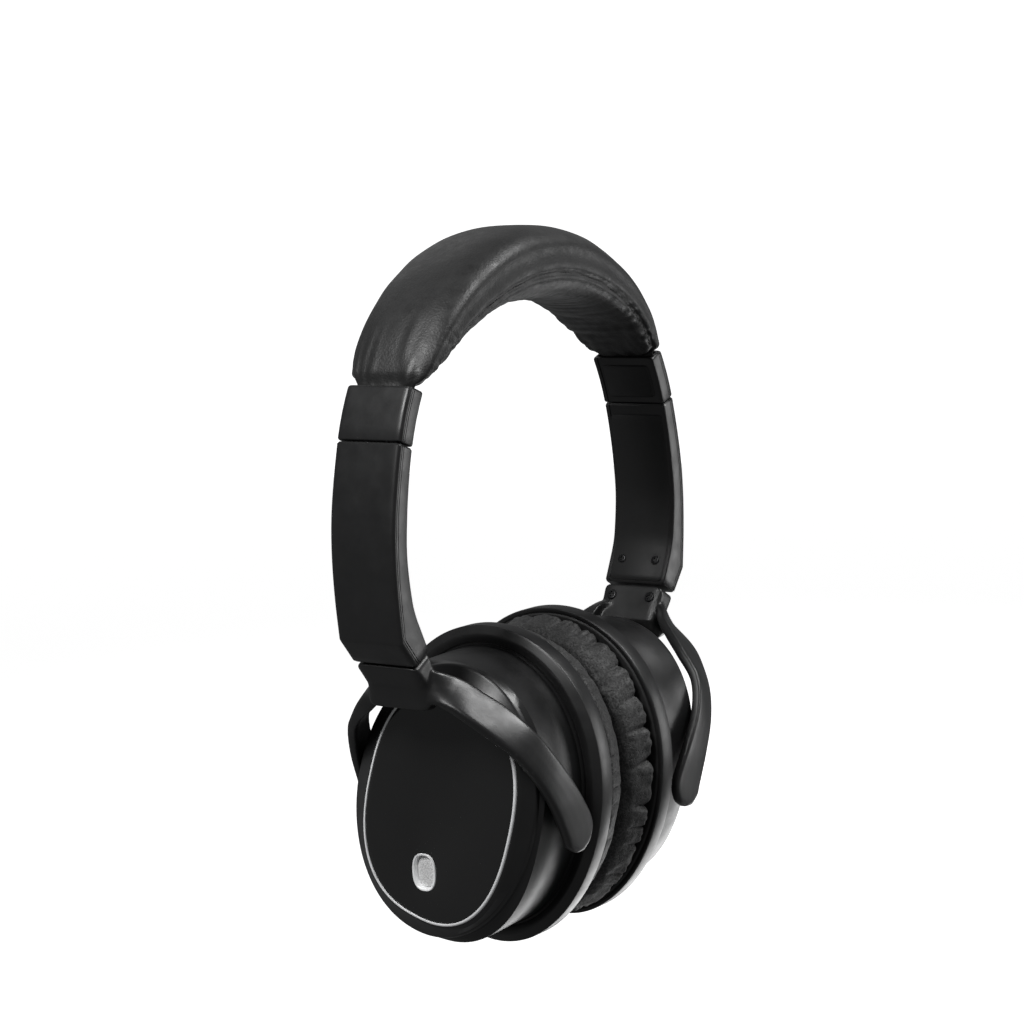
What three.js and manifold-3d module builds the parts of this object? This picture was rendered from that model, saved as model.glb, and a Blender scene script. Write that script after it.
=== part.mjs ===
// Over-ear headphones with a padded headband, sliding arms, swivelling yokes and tilting ear cups.
//
// Millimetres, +Z up. X runs from ear to ear: the left cup is at -X. +Y faces the wearer's front.
// The origin is the middle of the headband's underside, the place that hangs on a stand.
// Each side is modelled once with +X pointing away from the head, and the left side is its mirror.

import * as THREE from "three";
import { mergeVertices } from "three/addons/utils/BufferGeometryUtils.js";
import Module from "manifold-3d";

const wasm = await Module();
wasm.setup();

// ---------------------------------------------------------------- driving dimensions

const BELOW_BAND = 96.5; // from the headband's underside down to the kink of the arms
const GAP = 0.3; // running gap between neighbouring pieces
const ARM_WIDTH = 24;
const HALF_ARM = ARM_WIDTH / 2;
const EDGE = 0.8; // rounding of the moulded edges

const BAND = { centreZ: 42.8, crown: 77.3, shoulder: 76.6, halfAngle: 63.5 };
const CORE = { width: 13, thickness: 0.8, crown: 65.5, end: 70.9, halfAngle: 60 };
const CORE_TAIL = { offset: -1.35, high: 17.6, low: 12.7 }; // the spring's end, inside the cap

const SLIDE_TILT = 22; // degrees from the vertical
const MOUTH = { x: 72.5, z: 58.2 }; // middle of the cap's lower mouth
const CAP = { length: 17.4, thickness: 6.8, wall: 1.3, cover: 1.0 };
const STRIP = { width: 9.2, thickness: 1.2, above: 29, below: 9 };
const SCREW = { head: 1.45, headHigh: 0.8, shank: 0.65, shankLong: 2.6, across: 6.7 };
const HUB_SCREW = { head: 1.9, headHigh: 1.1, shank: 0.8, shankLong: 3.2, across: 7.6 };

const SEAM = { x: 69.15, z: -6.15, tilt: 30 }; // joint between the arm and the yoke
const SWIVEL_PIN = { radius: 2.4, length: 8 };
const PIVOT = { x: 31, z: -63, radius: 1.9 };

const CUP = { z: -55.8, halfWidth: 41.7, halfHeight: 51.3, egg: 0.09 };
const PLATE = { x: 49.6, z: -56.8, halfWidth: 26.9, halfHeight: 37.1, lean: 17.3, square: 2.45 };
const RIM = { back: 14.3, seam: 16.6, front: 21.5 };
// The crease where the dome ends and the slope up to the face plate begins.
const DOME_EDGE = { x: 45.6, y: 0.9, z: -56.1, halfWidth: 33.2, halfHeight: 44.6, lean: 19.6, square: 2.08 };
const MIC = { y: 6.5, z: -78.2, halfWidth: 4.3, halfHeight: 5.8 };
const CUSHION = { face: 0.4, base: 13.9, innerHalfWidth: 19, innerHalfHeight: 28.5 };
const DRIVER = { radius: 19.6, magnetRadius: 11.5, depth: 9.5 };

const CUP_STEPS = 28; // points round a cup outline
const CUSHION_STEPS = 24;

// ---------------------------------------------------------------- materials

function plastic(color, roughness) {
  return new THREE.MeshStandardMaterial({ color, roughness, metalness: 0 });
}

function metal(color, roughness) {
  return new THREE.MeshStandardMaterial({ color, roughness, metalness: 1 });
}

const SATIN_BLACK = plastic(0x17181a, 0.38);
const MATTE_BLACK = plastic(0x141516, 0.6);
const GLOSS_BLACK = plastic(0x101112, 0.12);
const LEATHER = plastic(0x161617, 0.55);
const DARK_FOAM = plastic(0x1b1b1c, 0.8);
const SILVER = metal(0xd9dadb, 0.2);
const STEEL = metal(0x8f9296, 0.35);
const DARK_STEEL = metal(0x2a2b2d, 0.4);
const GREEN_BOARD = plastic(0x1d4a30, 0.6);
const BATTERY_FOIL = plastic(0x8a8c90, 0.5);

// ---------------------------------------------------------------- solids

const radians = (degrees) => THREE.MathUtils.degToRad(degrees);

/** A closed geometry as a manifold solid. */
function solid(geometry) {
  const bare = geometry.index ? geometry.toNonIndexed() : geometry.clone();
  bare.deleteAttribute("normal");
  bare.deleteAttribute("uv");
  const merged = mergeVertices(bare, 1e-4);
  return new wasm.Manifold(
    new wasm.Mesh({
      numProp: 3,
      vertProperties: merged.attributes.position.array,
      triVerts: new Uint32Array(merged.index.array),
    }),
  );
}

/** The first solid with each later one cut away. */
function cut(body, ...tools) {
  return tools.reduce((left, tool) => left.subtract(tool), body);
}

/** The solids joined into one. */
function join(...parts) {
  return parts.reduce((whole, part) => whole.add(part));
}

function mesh(name, body, material) {
  const { vertProperties, triVerts, numProp } = body.getMesh();
  const position = [];
  for (let i = 0; i < vertProperties.length; i += numProp) {
    position.push(vertProperties[i], vertProperties[i + 1], vertProperties[i + 2]);
  }
  const geometry = new THREE.BufferGeometry();
  geometry.setAttribute("position", new THREE.Float32BufferAttribute(position, 3));
  geometry.setIndex([...triVerts]);
  geometry.computeVertexNormals();
  const made = new THREE.Mesh(geometry, material);
  made.name = name;
  return made;
}

/** A box by its lowest and highest corners. */
function box(low, high) {
  const size = high.map((value, i) => value - low[i]);
  const middle = high.map((value, i) => (value + low[i]) / 2);
  return solid(new THREE.BoxGeometry(...size).translate(...middle));
}

/** A round bar from one point to another. */
function bar(from, to, radius, sides = 16) {
  const start = new THREE.Vector3(...from);
  const along = new THREE.Vector3(...to).sub(start);
  const geometry = new THREE.CylinderGeometry(radius, radius, along.length(), sides);
  geometry.translate(0, along.length() / 2, 0);
  const turn = new THREE.Quaternion().setFromUnitVectors(
    new THREE.Vector3(0, 1, 0),
    along.clone().normalize(),
  );
  geometry.applyQuaternion(turn).translate(...from);
  return solid(geometry);
}

/** An outline of [x, z] points pushed across the arm from y = -half to y = half. */
function across(outline, half, edge = 0) {
  const shape = new THREE.Shape(outline.map(([x, z]) => new THREE.Vector2(x, z)));
  const geometry = new THREE.ExtrudeGeometry(shape, {
    depth: 2 * (half - edge),
    bevelEnabled: edge > 0,
    bevelThickness: edge,
    bevelSize: edge,
    bevelOffset: -edge,
    bevelSegments: 2,
  });
  geometry.rotateX(Math.PI / 2).translate(0, half - edge, 0);
  return solid(geometry);
}

/** Points at even steps along a smooth curve through the given [x, z] points. */
function smooth(points, steps) {
  const curve = new THREE.SplineCurve(points.map(([x, z]) => new THREE.Vector2(x, z)));
  return curve.getPoints(steps).map((p) => [p.x, p.y]);
}

/** A closed skin through rings of equal count: capped at both ends, or joined end to end. */
function loft(rings, joined = false) {
  const count = rings[0].length;
  const position = rings.flat().flatMap((p) => [p.x, p.y, p.z]);
  const index = [];
  const bands = joined ? rings.length : rings.length - 1;
  for (let r = 0; r < bands; r++) {
    const here = r * count;
    const there = ((r + 1) % rings.length) * count;
    for (let i = 0; i < count; i++) {
      const next = (i + 1) % count;
      index.push(here + i, here + next, there + next);
      index.push(here + i, there + next, there + i);
    }
  }
  if (!joined) {
    closeEnd(rings[0], 0, position, index, true);
    closeEnd(rings.at(-1), (rings.length - 1) * count, position, index, false);
  }
  const geometry = new THREE.BufferGeometry();
  geometry.setAttribute("position", new THREE.Float32BufferAttribute(position, 3));
  geometry.setIndex(index);
  const made = solid(geometry);
  return made.volume() > 0 ? made : solid(turnedOut(geometry));
}

/** A fan of triangles from the middle of an end ring. */
function closeEnd(ring, first, position, index, start) {
  const middle = ring.reduce((sum, p) => sum.add(p), new THREE.Vector3()).divideScalar(ring.length);
  const centre = position.length / 3;
  position.push(middle.x, middle.y, middle.z);
  for (let i = 0; i < ring.length; i++) {
    const here = first + i;
    const next = first + ((i + 1) % ring.length);
    index.push(...(start ? [next, here, centre] : [here, next, centre]));
  }
}

function turnedOut(geometry) {
  const index = [...geometry.index.array];
  for (let i = 0; i < index.length; i += 3) {
    [index[i], index[i + 1]] = [index[i + 1], index[i]];
  }
  return geometry.clone().setIndex(index);
}

// ---------------------------------------------------------------- cup outlines

/** One ring of a cup: an egg or a squarer oval in the plane x, leaning by an angle about X. */
function oval({ x, halfWidth, halfHeight, y = 0, z = CUP.z, egg = 0, lean = 0, square = 2 }, steps) {
  const ring = [];
  for (let i = 0; i < steps; i++) {
    const angle = (2 * Math.PI * i) / steps;
    const c = Math.cos(angle);
    const s = Math.sin(angle);
    const up = halfHeight * Math.sign(s) * Math.abs(s) ** (2 / square);
    const wide = halfWidth * Math.sign(c) * Math.abs(c) ** (2 / square);
    const side = wide * (1 + (egg * up) / halfHeight);
    const turn = radians(lean);
    const py = side * Math.cos(turn) - up * Math.sin(turn);
    const pz = side * Math.sin(turn) + up * Math.cos(turn);
    ring.push(new THREE.Vector3(x, y + py, z + pz));
  }
  return ring;
}

/** An egg-shaped ring, set in from the cup's rim by a distance. */
function rimRing(x, inset, steps = CUP_STEPS) {
  const halfWidth = CUP.halfWidth - inset;
  const halfHeight = CUP.halfHeight - inset;
  return oval({ x, halfWidth, halfHeight, egg: CUP.egg }, steps);
}

/** A ring with the outline of the face plate, grown or shrunk by a distance. */
function plateRing(x, grow, steps = CUP_STEPS) {
  const { z, halfWidth, halfHeight, lean, square } = PLATE;
  return oval({ x, z, halfWidth: halfWidth + grow, halfHeight: halfHeight + grow, lean, square }, steps);
}

/** A ring of the cup's shell, turning from the rim's egg (share 0) to the plate's leaning oval (1). */
function shellRing(x, halfWidth, halfHeight, share) {
  const z = THREE.MathUtils.lerp(CUP.z, PLATE.z, share);
  const egg = CUP.egg * (1 - share);
  const lean = PLATE.lean * share;
  const square = THREE.MathUtils.lerp(2, PLATE.square, share);
  return oval({ x, z, halfWidth, halfHeight, egg, lean, square }, CUP_STEPS);
}

function micRing(x, grow, steps = 16) {
  const { y, z, halfWidth, halfHeight } = MIC;
  const size = { halfWidth: halfWidth + grow, halfHeight: halfHeight + grow, square: 2.5 };
  return oval({ x, y, z, ...size }, steps);
}

// ---------------------------------------------------------------- headband

/** A ring of the headband pad at an angle from the crown, in degrees. */
function padRing(angle) {
  const share = Math.abs(angle) / BAND.halfAngle;
  const ease = share * share;
  const inner = 53.7 + 16.0 * share ** 1.7;
  const outer = BAND.crown + (BAND.shoulder - BAND.crown) * ease - 1.4 * share ** 6;
  const half = 18.6 - 2.2 * ease - 5.4 * share ** 6;
  const middle = (inner + outer) / 2;
  const thick = (outer - inner) / 2;
  const section = [];
  const steps = 14;
  for (let i = 0; i < steps; i++) {
    const t = (2 * Math.PI * i) / steps;
    const c = Math.cos(t);
    const s = Math.sin(t);
    const y = half * Math.sign(c) * Math.abs(c) ** 0.7;
    const r = middle + thick * Math.sign(s) * Math.abs(s) ** 0.72;
    section.push([y, r]);
  }
  const turn = radians(angle);
  return section.map(
    ([y, r]) => new THREE.Vector3(r * Math.sin(turn), y, BAND.centreZ + r * Math.cos(turn)),
  );
}

/** A point of the cap's own frame: t through the arm's thickness, s up along the slide. */
function alongSlide(t, s) {
  const turn = radians(SLIDE_TILT);
  return [MOUTH.x + t * Math.cos(turn) - s * Math.sin(turn), MOUTH.z + t * Math.sin(turn) + s * Math.cos(turn)];
}

/** The middle line of the steel spring as [x, z] points, from one cap to the other. */
function corePath() {
  const steps = 14;
  const arc = [];
  for (let i = 0; i <= steps; i++) {
    const angle = CORE.halfAngle * ((2 * i) / steps - 1);
    const share = Math.abs(angle) / CORE.halfAngle;
    const r = CORE.crown + (CORE.end - CORE.crown) * share ** 2;
    arc.push([r * Math.sin(radians(angle)), BAND.centreZ + r * Math.cos(radians(angle))]);
  }
  const tail = [alongSlide(CORE_TAIL.offset, CORE_TAIL.high), alongSlide(CORE_TAIL.offset, CORE_TAIL.low)];
  const start = tail.map(([x, z]) => [-x, z]).reverse();
  return [...start, ...arc, ...tail];
}

/** A flat band along the spring's path; grow makes the channel that it lies in. */
function coreBand(grow) {
  const path = corePath();
  const half = CORE.width / 2 + grow;
  const thick = CORE.thickness / 2 + grow;
  const rings = path.map(([x, z], i) => {
    const [ax, az] = path[Math.max(i - 1, 0)];
    const [bx, bz] = path[Math.min(i + 1, path.length - 1)];
    const out = new THREE.Vector2(-(bz - az), bx - ax).normalize();
    const corners = [[half, thick], [-half, thick], [-half, -thick], [half, -thick]];
    return corners.map(([y, t]) => new THREE.Vector3(x + out.x * t, y, z + out.y * t));
  });
  return loft(rings);
}

function makeHeadband() {
  const rings = [];
  const steps = 18;
  for (let i = 0; i <= steps; i++) {
    rings.push(padRing(-BAND.halfAngle + (2 * BAND.halfAngle * i) / steps));
  }
  const stripSlots = [-1, 1].map((side) => {
    const slot = new THREE.BoxGeometry(STRIP.thickness + 1, STRIP.width + 1, STRIP.above + 1);
    slot.translate(0, 0, (STRIP.above + 1) / 2);
    slot.rotateY(-radians(SLIDE_TILT)).translate(MOUTH.x, 0, MOUTH.z);
    return solid(side < 0 ? turnedOut(slot.scale(-1, 1, 1)) : slot);
  });
  const pad = cut(loft(rings), coreBand(GAP + 0.05), ...stripSlots);
  const group = new THREE.Group();
  group.add(mesh("headband_pad", pad, LEATHER));
  group.add(mesh("headband_spring", coreBand(0), STEEL));
  return group;
}

// ---------------------------------------------------------------- fasteners

/** A screw whose head faces -X, with its head's top at the origin. */
function screw(name, size, y, x, z) {
  const head = bar([0, 0, 0], [size.headHigh, 0, 0], size.head, 12);
  const shank = bar([size.headHigh / 2, 0, 0], [size.shankLong, 0, 0], size.shank, 8);
  const made = mesh(name, join(head, shank), DARK_STEEL);
  made.position.set(x, y, z);
  return made;
}

/** The hole that takes a screw and sinks its head. */
function screwHole(size, y, x, z) {
  const sunk = bar([x - 1, y, z], [x + size.headHigh + GAP, y, z], size.head + GAP, 12);
  const bore = bar([x, y, z], [x + size.shankLong + GAP, y, z], size.shank + GAP, 8);
  return join(sunk, bore);
}

// ---------------------------------------------------------------- end cap, in the slide's own frame

/** x runs through the arm's thickness and z up along the slide, with the cap's mouth at z = 0. */
function makeEndCap(side) {
  const half = CAP.thickness / 2;
  const bulge = 0.5;
  const outline = [
    [-half, GAP],
    [half, GAP],
    [half + bulge, CAP.length / 2],
    [half, CAP.length],
    [-half, CAP.length],
    [-half + bulge, CAP.length / 2],
  ];
  const inside = half - CAP.wall;
  const screwZ = 10.3;
  const coverBack = -half + CAP.cover + GAP;
  const mouthSlot = box(
    [-STRIP.thickness / 2 - 0.5, -STRIP.width / 2 - 0.5, -1],
    [STRIP.thickness / 2 + 0.5, STRIP.width / 2 + 0.5, 4],
  );
  const channel = box([coverBack, -10.2, 2.2], [inside, 10.2, CAP.length + 1]);
  const window = box([-half - 1, -9.6, 2.2], [coverBack, 9.6, CAP.length - 2.4]);
  const bosses = [-1, 1].map((s) => {
    const y = s * SCREW.across;
    return bar([coverBack + GAP, y, screwZ], [inside + 0.4, y, screwZ], 1.6, 12);
  });
  const holes = [-1, 1].map((s) => screwHole(SCREW, s * SCREW.across, -half + 0.3, screwZ));
  const sleeve = cut(across(outline, HALF_ARM, EDGE), channel, window, mouthSlot);
  const cap = cut(join(sleeve, ...bosses), ...holes);
  const coverLow = [-half + 0.25, -9.6 + GAP, 2.2 + GAP];
  const coverHigh = [coverBack - GAP, 9.6 - GAP, CAP.length - 2.4 - GAP];
  const cover = cut(box(coverLow, coverHigh), ...holes);
  const group = new THREE.Group();
  group.add(mesh(`${side}_end_cap`, cap, SATIN_BLACK));
  group.add(mesh(`${side}_end_cap_cover`, cover, MATTE_BLACK));
  for (const [place, s] of [["front", 1], ["rear", -1]]) {
    group.add(screw(`${side}_cap_screw_${place}`, SCREW, s * SCREW.across, -half + 0.3, screwZ));
  }
  group.position.set(MOUTH.x, 0, MOUTH.z);
  group.rotation.y = -radians(SLIDE_TILT);
  return group;
}

// ---------------------------------------------------------------- slider arm

const ARM_OUTSIDE = [[75.65, 59.3], [78.1, 49], [80.2, 37], [80.9, 25], [80.4, 12], [79.1, 0]];
const ARM_INSIDE = [[65.6, -4.2], [69.6, 4], [72.4, 12], [73.9, 25], [73.1, 37], [71.4, 48], [69.4, 56.8]];
const ARM_STEP = [72.7, -8.2]; // foot of the chamfer under the kink

function strip() {
  const low = [-STRIP.thickness / 2, -STRIP.width / 2, -STRIP.below];
  const high = [STRIP.thickness / 2, STRIP.width / 2, STRIP.above];
  return box(low, high);
}

/** A curve of [x, z] points moved sideways. */
function shifted(points, distance) {
  return points.map(([x, z]) => [x + distance, z]);
}

/** The stretch of a curve between two heights, lowest point first or last as the curve runs. */
function clipped(points, low, high) {
  const at = (z) => {
    const i = points.findIndex(([, pz], k) => k > 0 && (pz - z) * (points[k - 1][1] - z) <= 0);
    const [ax, az] = points[i - 1];
    const [bx, bz] = points[i];
    return [ax + ((bx - ax) * (z - az)) / (bz - az), z];
  };
  const middle = points.filter(([, z]) => z > low + 0.1 && z < high - 0.1);
  const rising = points.at(-1)[1] > points[0][1];
  return rising ? [at(low), ...middle, at(high)] : [at(high), ...middle, at(low)];
}

function makeSliderArm(side) {
  const outside = smooth(ARM_OUTSIDE, 10);
  const inside = smooth(ARM_INSIDE, 10);
  const outline = [...outside, ARM_STEP, ...inside];
  const wall = 1.5;
  const plate = 1.3;
  const plateHalf = 10.4;
  const plateLow = 0.6;
  const plateHigh = 53;
  const bed = clipped(inside, plateLow, plateHigh);
  const panel = clipped(inside, plateLow + GAP, plateHigh - GAP);
  const recess = [...shifted(bed, -4), ...shifted(bed, plate + GAP).reverse()];
  const cover = [...shifted(panel, 0.2), ...shifted(panel, plate).reverse()];
  const hollow = [
    ...shifted(clipped(inside, 8, 48), plate),
    ...shifted(clipped(outside, 8, 48), -wall),
  ];
  const tilt = -radians(SLIDE_TILT);
  const slot = new THREE.BoxGeometry(STRIP.thickness + 0.6, STRIP.width + 0.6, STRIP.below + 12);
  slot.translate(0, 0, 12 - (STRIP.below + 12) / 2 - GAP).rotateY(tilt).translate(MOUTH.x, 0, MOUTH.z);
  const seam = seamFrame();
  const pinHole = bar([0, 0, -2], [0, 0, SWIVEL_PIN.length + 0.6], SWIVEL_PIN.radius + GAP);
  const screwPlace = { x: 70.35, z: 4.2 };
  const holes = [-1, 1].map((s) => screwHole(SCREW, s * SCREW.across, screwPlace.x, screwPlace.z));
  const shell = cut(
    across(outline, HALF_ARM, EDGE),
    across(recess, plateHalf),
    across(hollow, plateHalf - 0.8),
    solid(slot),
    pinHole.transform([...seam.elements]),
    ...holes,
  );
  const plateBody = cut(across(cover, plateHalf - GAP), ...holes, solid(slot));
  const group = new THREE.Group();
  group.add(mesh(`${side}_slider_arm`, shell, SATIN_BLACK));
  group.add(mesh(`${side}_slider_arm_cover`, plateBody, MATTE_BLACK));
  for (const [place, s] of [["front", 1], ["rear", -1]]) {
    const name = `${side}_arm_screw_${place}`;
    group.add(screw(name, SCREW, s * SCREW.across, screwPlace.x, screwPlace.z));
  }
  const steel = mesh(`${side}_slider_strip`, strip(), STEEL);
  steel.position.set(MOUTH.x, 0, MOUTH.z);
  steel.rotation.y = tilt;
  group.add(steel);
  return group;
}

/** The frame of the seam between arm and yoke: z runs up the swivel axis into the arm. */
function seamFrame() {
  const turn = new THREE.Matrix4().makeRotationY(radians(SEAM.tilt));
  return turn.setPosition(SEAM.x, 0, SEAM.z);
}

// ---------------------------------------------------------------- yoke

// Each fork arm's outer face runs between two edges, given from the hub to the rounded tip.
const YOKE_TOP_EDGE = [
  [63.4, 0, -11.0], [60.2, 11.6, -9.0], [57.6, 17, -13.0], [53.6, 22.8, -17.6], [50.1, 28.8, -22.4],
  [46.6, 36.4, -30.0], [40.4, 40.2, -39.6], [32.4, 41.2, -49.6], [24.9, 41.0, -60.5], [25.6, 40.9, -66.8],
  [29.3, 40.8, -69.9],
];
const YOKE_LOW_EDGE = [
  [66.6, 0, -22.6], [66.9, 12, -20.2], [65.9, 18.6, -20.6], [63.9, 25, -24.4], [60.6, 30.2, -29.4],
  [55.4, 35.8, -36.6], [49.8, 39.3, -45.2], [43.9, 40.8, -54.6], [38.8, 41, -64.2], [37.2, 40.9, -67.6],
  [33.6, 40.8, -70.2],
];
const YOKE_THICK = { hub: 4.2, arm: 3.5, tip: 3.0 };
const YOKE_FRONT = { narrower: 0.07, closer: 3.4, tip: 0.02 }; // the front arm lies nearer to the cup
const YOKE_STEPS = 15;

/** One section of the fork at a place from 0 (hub) to 1 (tip), for the arm on the side s. */
function forkSection(topCurve, lowCurve, t, s) {
  const top = topCurve.getPoint(t);
  const low = lowCurve.getPoint(t);
  const ahead = topCurve.getTangent(Math.min(t + 0.001, 1)).add(lowCurve.getTangent(t));
  const edge = low.clone().sub(top);
  const width = edge.length();
  const down = edge.normalize();
  const inward = ahead.cross(down).normalize();
  const toCup = new THREE.Vector3(10, 0, CUP.z).sub(top);
  if (inward.dot(toCup) < 0) {
    inward.negate();
  }
  const thick = t < 0.3
    ? THREE.MathUtils.lerp(YOKE_THICK.hub, YOKE_THICK.arm, t / 0.3)
    : THREE.MathUtils.lerp(YOKE_THICK.arm, YOKE_THICK.tip, (t - 0.3) / 0.7);
  const round = 0.9;
  const profile = [
    [0, round], [round, 0], [width - round, 0], [width, round],
    [width, thick - round], [width - round, thick], [round, thick], [0, thick - round],
  ];
  const front = s > 0 ? 1 : 0;
  const pinch = YOKE_FRONT.narrower * Math.sin(Math.PI * Math.min(1, t * 1.2));
  const narrower = 1 - front * (pinch + YOKE_FRONT.tip * t);
  const closer = front * YOKE_FRONT.closer * Math.sin(Math.PI * t);
  return profile.map(([along, deep]) => {
    const p = top.clone().addScaledVector(down, along).addScaledVector(inward, deep);
    return new THREE.Vector3(p.x - closer, p.y * s * narrower, p.z);
  });
}

function forkArms() {
  const topCurve = new THREE.CatmullRomCurve3(YOKE_TOP_EDGE.map((p) => new THREE.Vector3(...p)));
  const lowCurve = new THREE.CatmullRomCurve3(YOKE_LOW_EDGE.map((p) => new THREE.Vector3(...p)));
  const rings = [];
  for (let i = YOKE_STEPS; i >= 1; i--) {
    rings.push(forkSection(topCurve, lowCurve, i / YOKE_STEPS, -1));
  }
  for (let i = 1; i <= YOKE_STEPS; i++) {
    rings.push(forkSection(topCurve, lowCurve, i / YOKE_STEPS, 1));
  }
  return loft(rings);
}

const PIVOT_ENDS = [["front", 1, 38.2], ["rear", -1, 38.8]]; // how far each pin reaches into its tip

const HUB_OUTLINE = [
  [72.5, -8.7], [67.9, -15.6], [66.7, -22.4], [62.4, -22.8], [59.8, -19.0], [58.9, -15.6], [62.1, -10.1],
  [65.3, -4.6],
];

function makeYoke(side) {
  const seam = seamFrame();
  const pin = bar([0, 0, -3], [0, 0, SWIVEL_PIN.length], SWIVEL_PIN.radius);
  const screwPlace = { x: 63.7, z: -8.3 };
  const holes = [-1, 1].map((s) => {
    return screwHole(HUB_SCREW, s * HUB_SCREW.across, screwPlace.x, screwPlace.z);
  });
  const tipHoles = PIVOT_ENDS.map(([, s, outer]) => {
    return bar([PIVOT.x, s * 30, PIVOT.z], [PIVOT.x, s * (outer + 0.4), PIVOT.z], PIVOT.radius + GAP);
  });
  const hub = across(HUB_OUTLINE, HALF_ARM - 0.3, EDGE);
  const body = cut(
    join(hub, forkArms(), pin.transform([...seam.elements])),
    ...holes,
    ...tipHoles,
  );
  const group = new THREE.Group();
  group.add(mesh(`${side}_yoke`, body, SATIN_BLACK));
  for (const [place, s, reach] of PIVOT_ENDS) {
    const y = s * HUB_SCREW.across;
    group.add(screw(`${side}_hub_screw_${place}`, HUB_SCREW, y, screwPlace.x, screwPlace.z));
    const inner = [PIVOT.x, s * 31.2, PIVOT.z];
    const outer = [PIVOT.x, s * reach, PIVOT.z];
    group.add(mesh(`${side}_pivot_pin_${place}`, bar(inner, outer, PIVOT.radius), STEEL));
  }
  return group;
}

// ---------------------------------------------------------------- ear cup

function housingSkin() {
  return loft([
    rimRing(RIM.seam + GAP, 0.3),
    rimRing(RIM.front - 1.1, 0),
    rimRing(RIM.front + 0.4, 2.8),
    rimRing(RIM.front + 0.1, 5.4),
    rimRing(RIM.front + 0.5, 6.2),
    shellRing(30, 35.0, 44.9, 0.15),
    shellRing(37, 34.8, 45.0, 0.5),
    shellRing(42.5, 34.0, 44.9, 0.84),
    oval(DOME_EDGE, CUP_STEPS),
    plateRing(PLATE.x - 0.6, 1.7),
    plateRing(PLATE.x - 0.3, 1.15),
  ]);
}

function housingHollow() {
  return loft([
    rimRing(RIM.back, 8.6),
    shellRing(30, 32.7, 42.5, 0.15),
    shellRing(38, 32.0, 41.9, 0.5),
    plateRing(45.4, 2.4),
  ]);
}

/** A pocket or button place on the housing's side, at an angle round it from +Y towards -Z. */
function sidePlace(angle, x) {
  const turn = radians(angle);
  const y = (CUP.halfWidth - 7.2) * Math.cos(turn) * (1 - CUP.egg * Math.sin(turn));
  const z = CUP.z - (CUP.halfHeight - 7.2) * Math.sin(turn);
  const outward = new THREE.Vector3(0, Math.cos(turn) * CUP.halfHeight, -Math.sin(turn) * CUP.halfWidth);
  return { at: new THREE.Vector3(x, y, z), outward: outward.normalize() };
}

/** A stadium-shaped plug whose long side runs round the cup, from one depth to another. */
function sidePlug(place, halfLong, halfWide, from, to, shift = 0) {
  const shape = new THREE.Shape();
  const straight = halfLong - halfWide;
  shape.absarc(straight, 0, halfWide, -Math.PI / 2, Math.PI / 2);
  shape.absarc(-straight, 0, halfWide, Math.PI / 2, (3 * Math.PI) / 2);
  const options = { depth: to - from, bevelEnabled: false, curveSegments: 4 };
  const geometry = new THREE.ExtrudeGeometry(shape, options).translate(shift, 0, from);
  const round = place.outward.clone().cross(new THREE.Vector3(1, 0, 0));
  const frame = new THREE.Matrix4().makeBasis(round, new THREE.Vector3(1, 0, 0).negate(), place.outward);
  geometry.applyMatrix4(frame).translate(place.at.x, place.at.y, place.at.z);
  return solid(geometry);
}

const BUTTONS = [
  { name: "volume_up_button", angle: 36, halfLong: 3.4 },
  { name: "play_button", angle: 49, halfLong: 2.6 },
  { name: "volume_down_button", angle: 62, halfLong: 3.4 },
];
const BUTTON = { x: 32, halfWide: 1.9, proud: 0.9, deep: 3.2, travel: 0.6 };
const SWITCH = { name: "power_switch", angle: 49, x: 32, halfLong: 2.4, slotLong: 4.6, halfWide: 1.5, travel: 3.6 };
const CHARGE_PORT = { angle: 84, x: 33, halfLong: 4.7, halfWide: 1.9, wall: 0.5, deep: 6.5 };
const JACK = { angle: 104, x: 33, radius: 3.1, bore: 1.85, deep: 9 };

/** Controls and sockets: buttons on the right cup, switch and sockets on the left. */
function makeControls(side) {
  const meshes = [];
  const holes = [];
  if (side === "right") {
    for (const { name, angle, halfLong } of BUTTONS) {
      const place = sidePlace(angle, BUTTON.x);
      const cap = sidePlug(place, halfLong, BUTTON.halfWide, -BUTTON.deep, BUTTON.proud);
      meshes.push(mesh(name, cap, SATIN_BLACK));
      holes.push(sidePlug(place, halfLong + GAP, BUTTON.halfWide + GAP, -8, 4));
    }
    return { meshes, holes };
  }
  const slider = sidePlace(SWITCH.angle, SWITCH.x);
  const knob = sidePlug(slider, SWITCH.halfLong, SWITCH.halfWide, -3.4, 0.8, -SWITCH.travel / 2);
  meshes.push(mesh(SWITCH.name, knob, SATIN_BLACK));
  holes.push(sidePlug(slider, SWITCH.slotLong, SWITCH.halfWide + GAP, -8, 4));
  const port = sidePlace(CHARGE_PORT.angle, CHARGE_PORT.x);
  const { halfLong, halfWide, wall, deep } = CHARGE_PORT;
  const can = sidePlug(port, halfLong, halfWide, -deep, -0.4);
  const mouth = sidePlug(port, halfLong - wall, halfWide - wall, -deep + 1, 2);
  meshes.push(mesh("charging_port", cut(can, mouth), STEEL));
  holes.push(sidePlug(port, halfLong + GAP, halfWide + GAP, -8, 4));
  const jack = sidePlace(JACK.angle, JACK.x);
  const along = (distance) => jack.at.clone().addScaledVector(jack.outward, distance).toArray();
  const socket = bar(along(-JACK.deep), along(-0.3), JACK.radius);
  const bore = bar(along(1 - JACK.deep), along(2), JACK.bore, 12);
  meshes.push(mesh("audio_jack_socket", cut(socket, bore), MATTE_BLACK));
  holes.push(bar(along(-JACK.deep), along(4), JACK.radius + GAP));
  return { meshes, holes };
}

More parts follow.
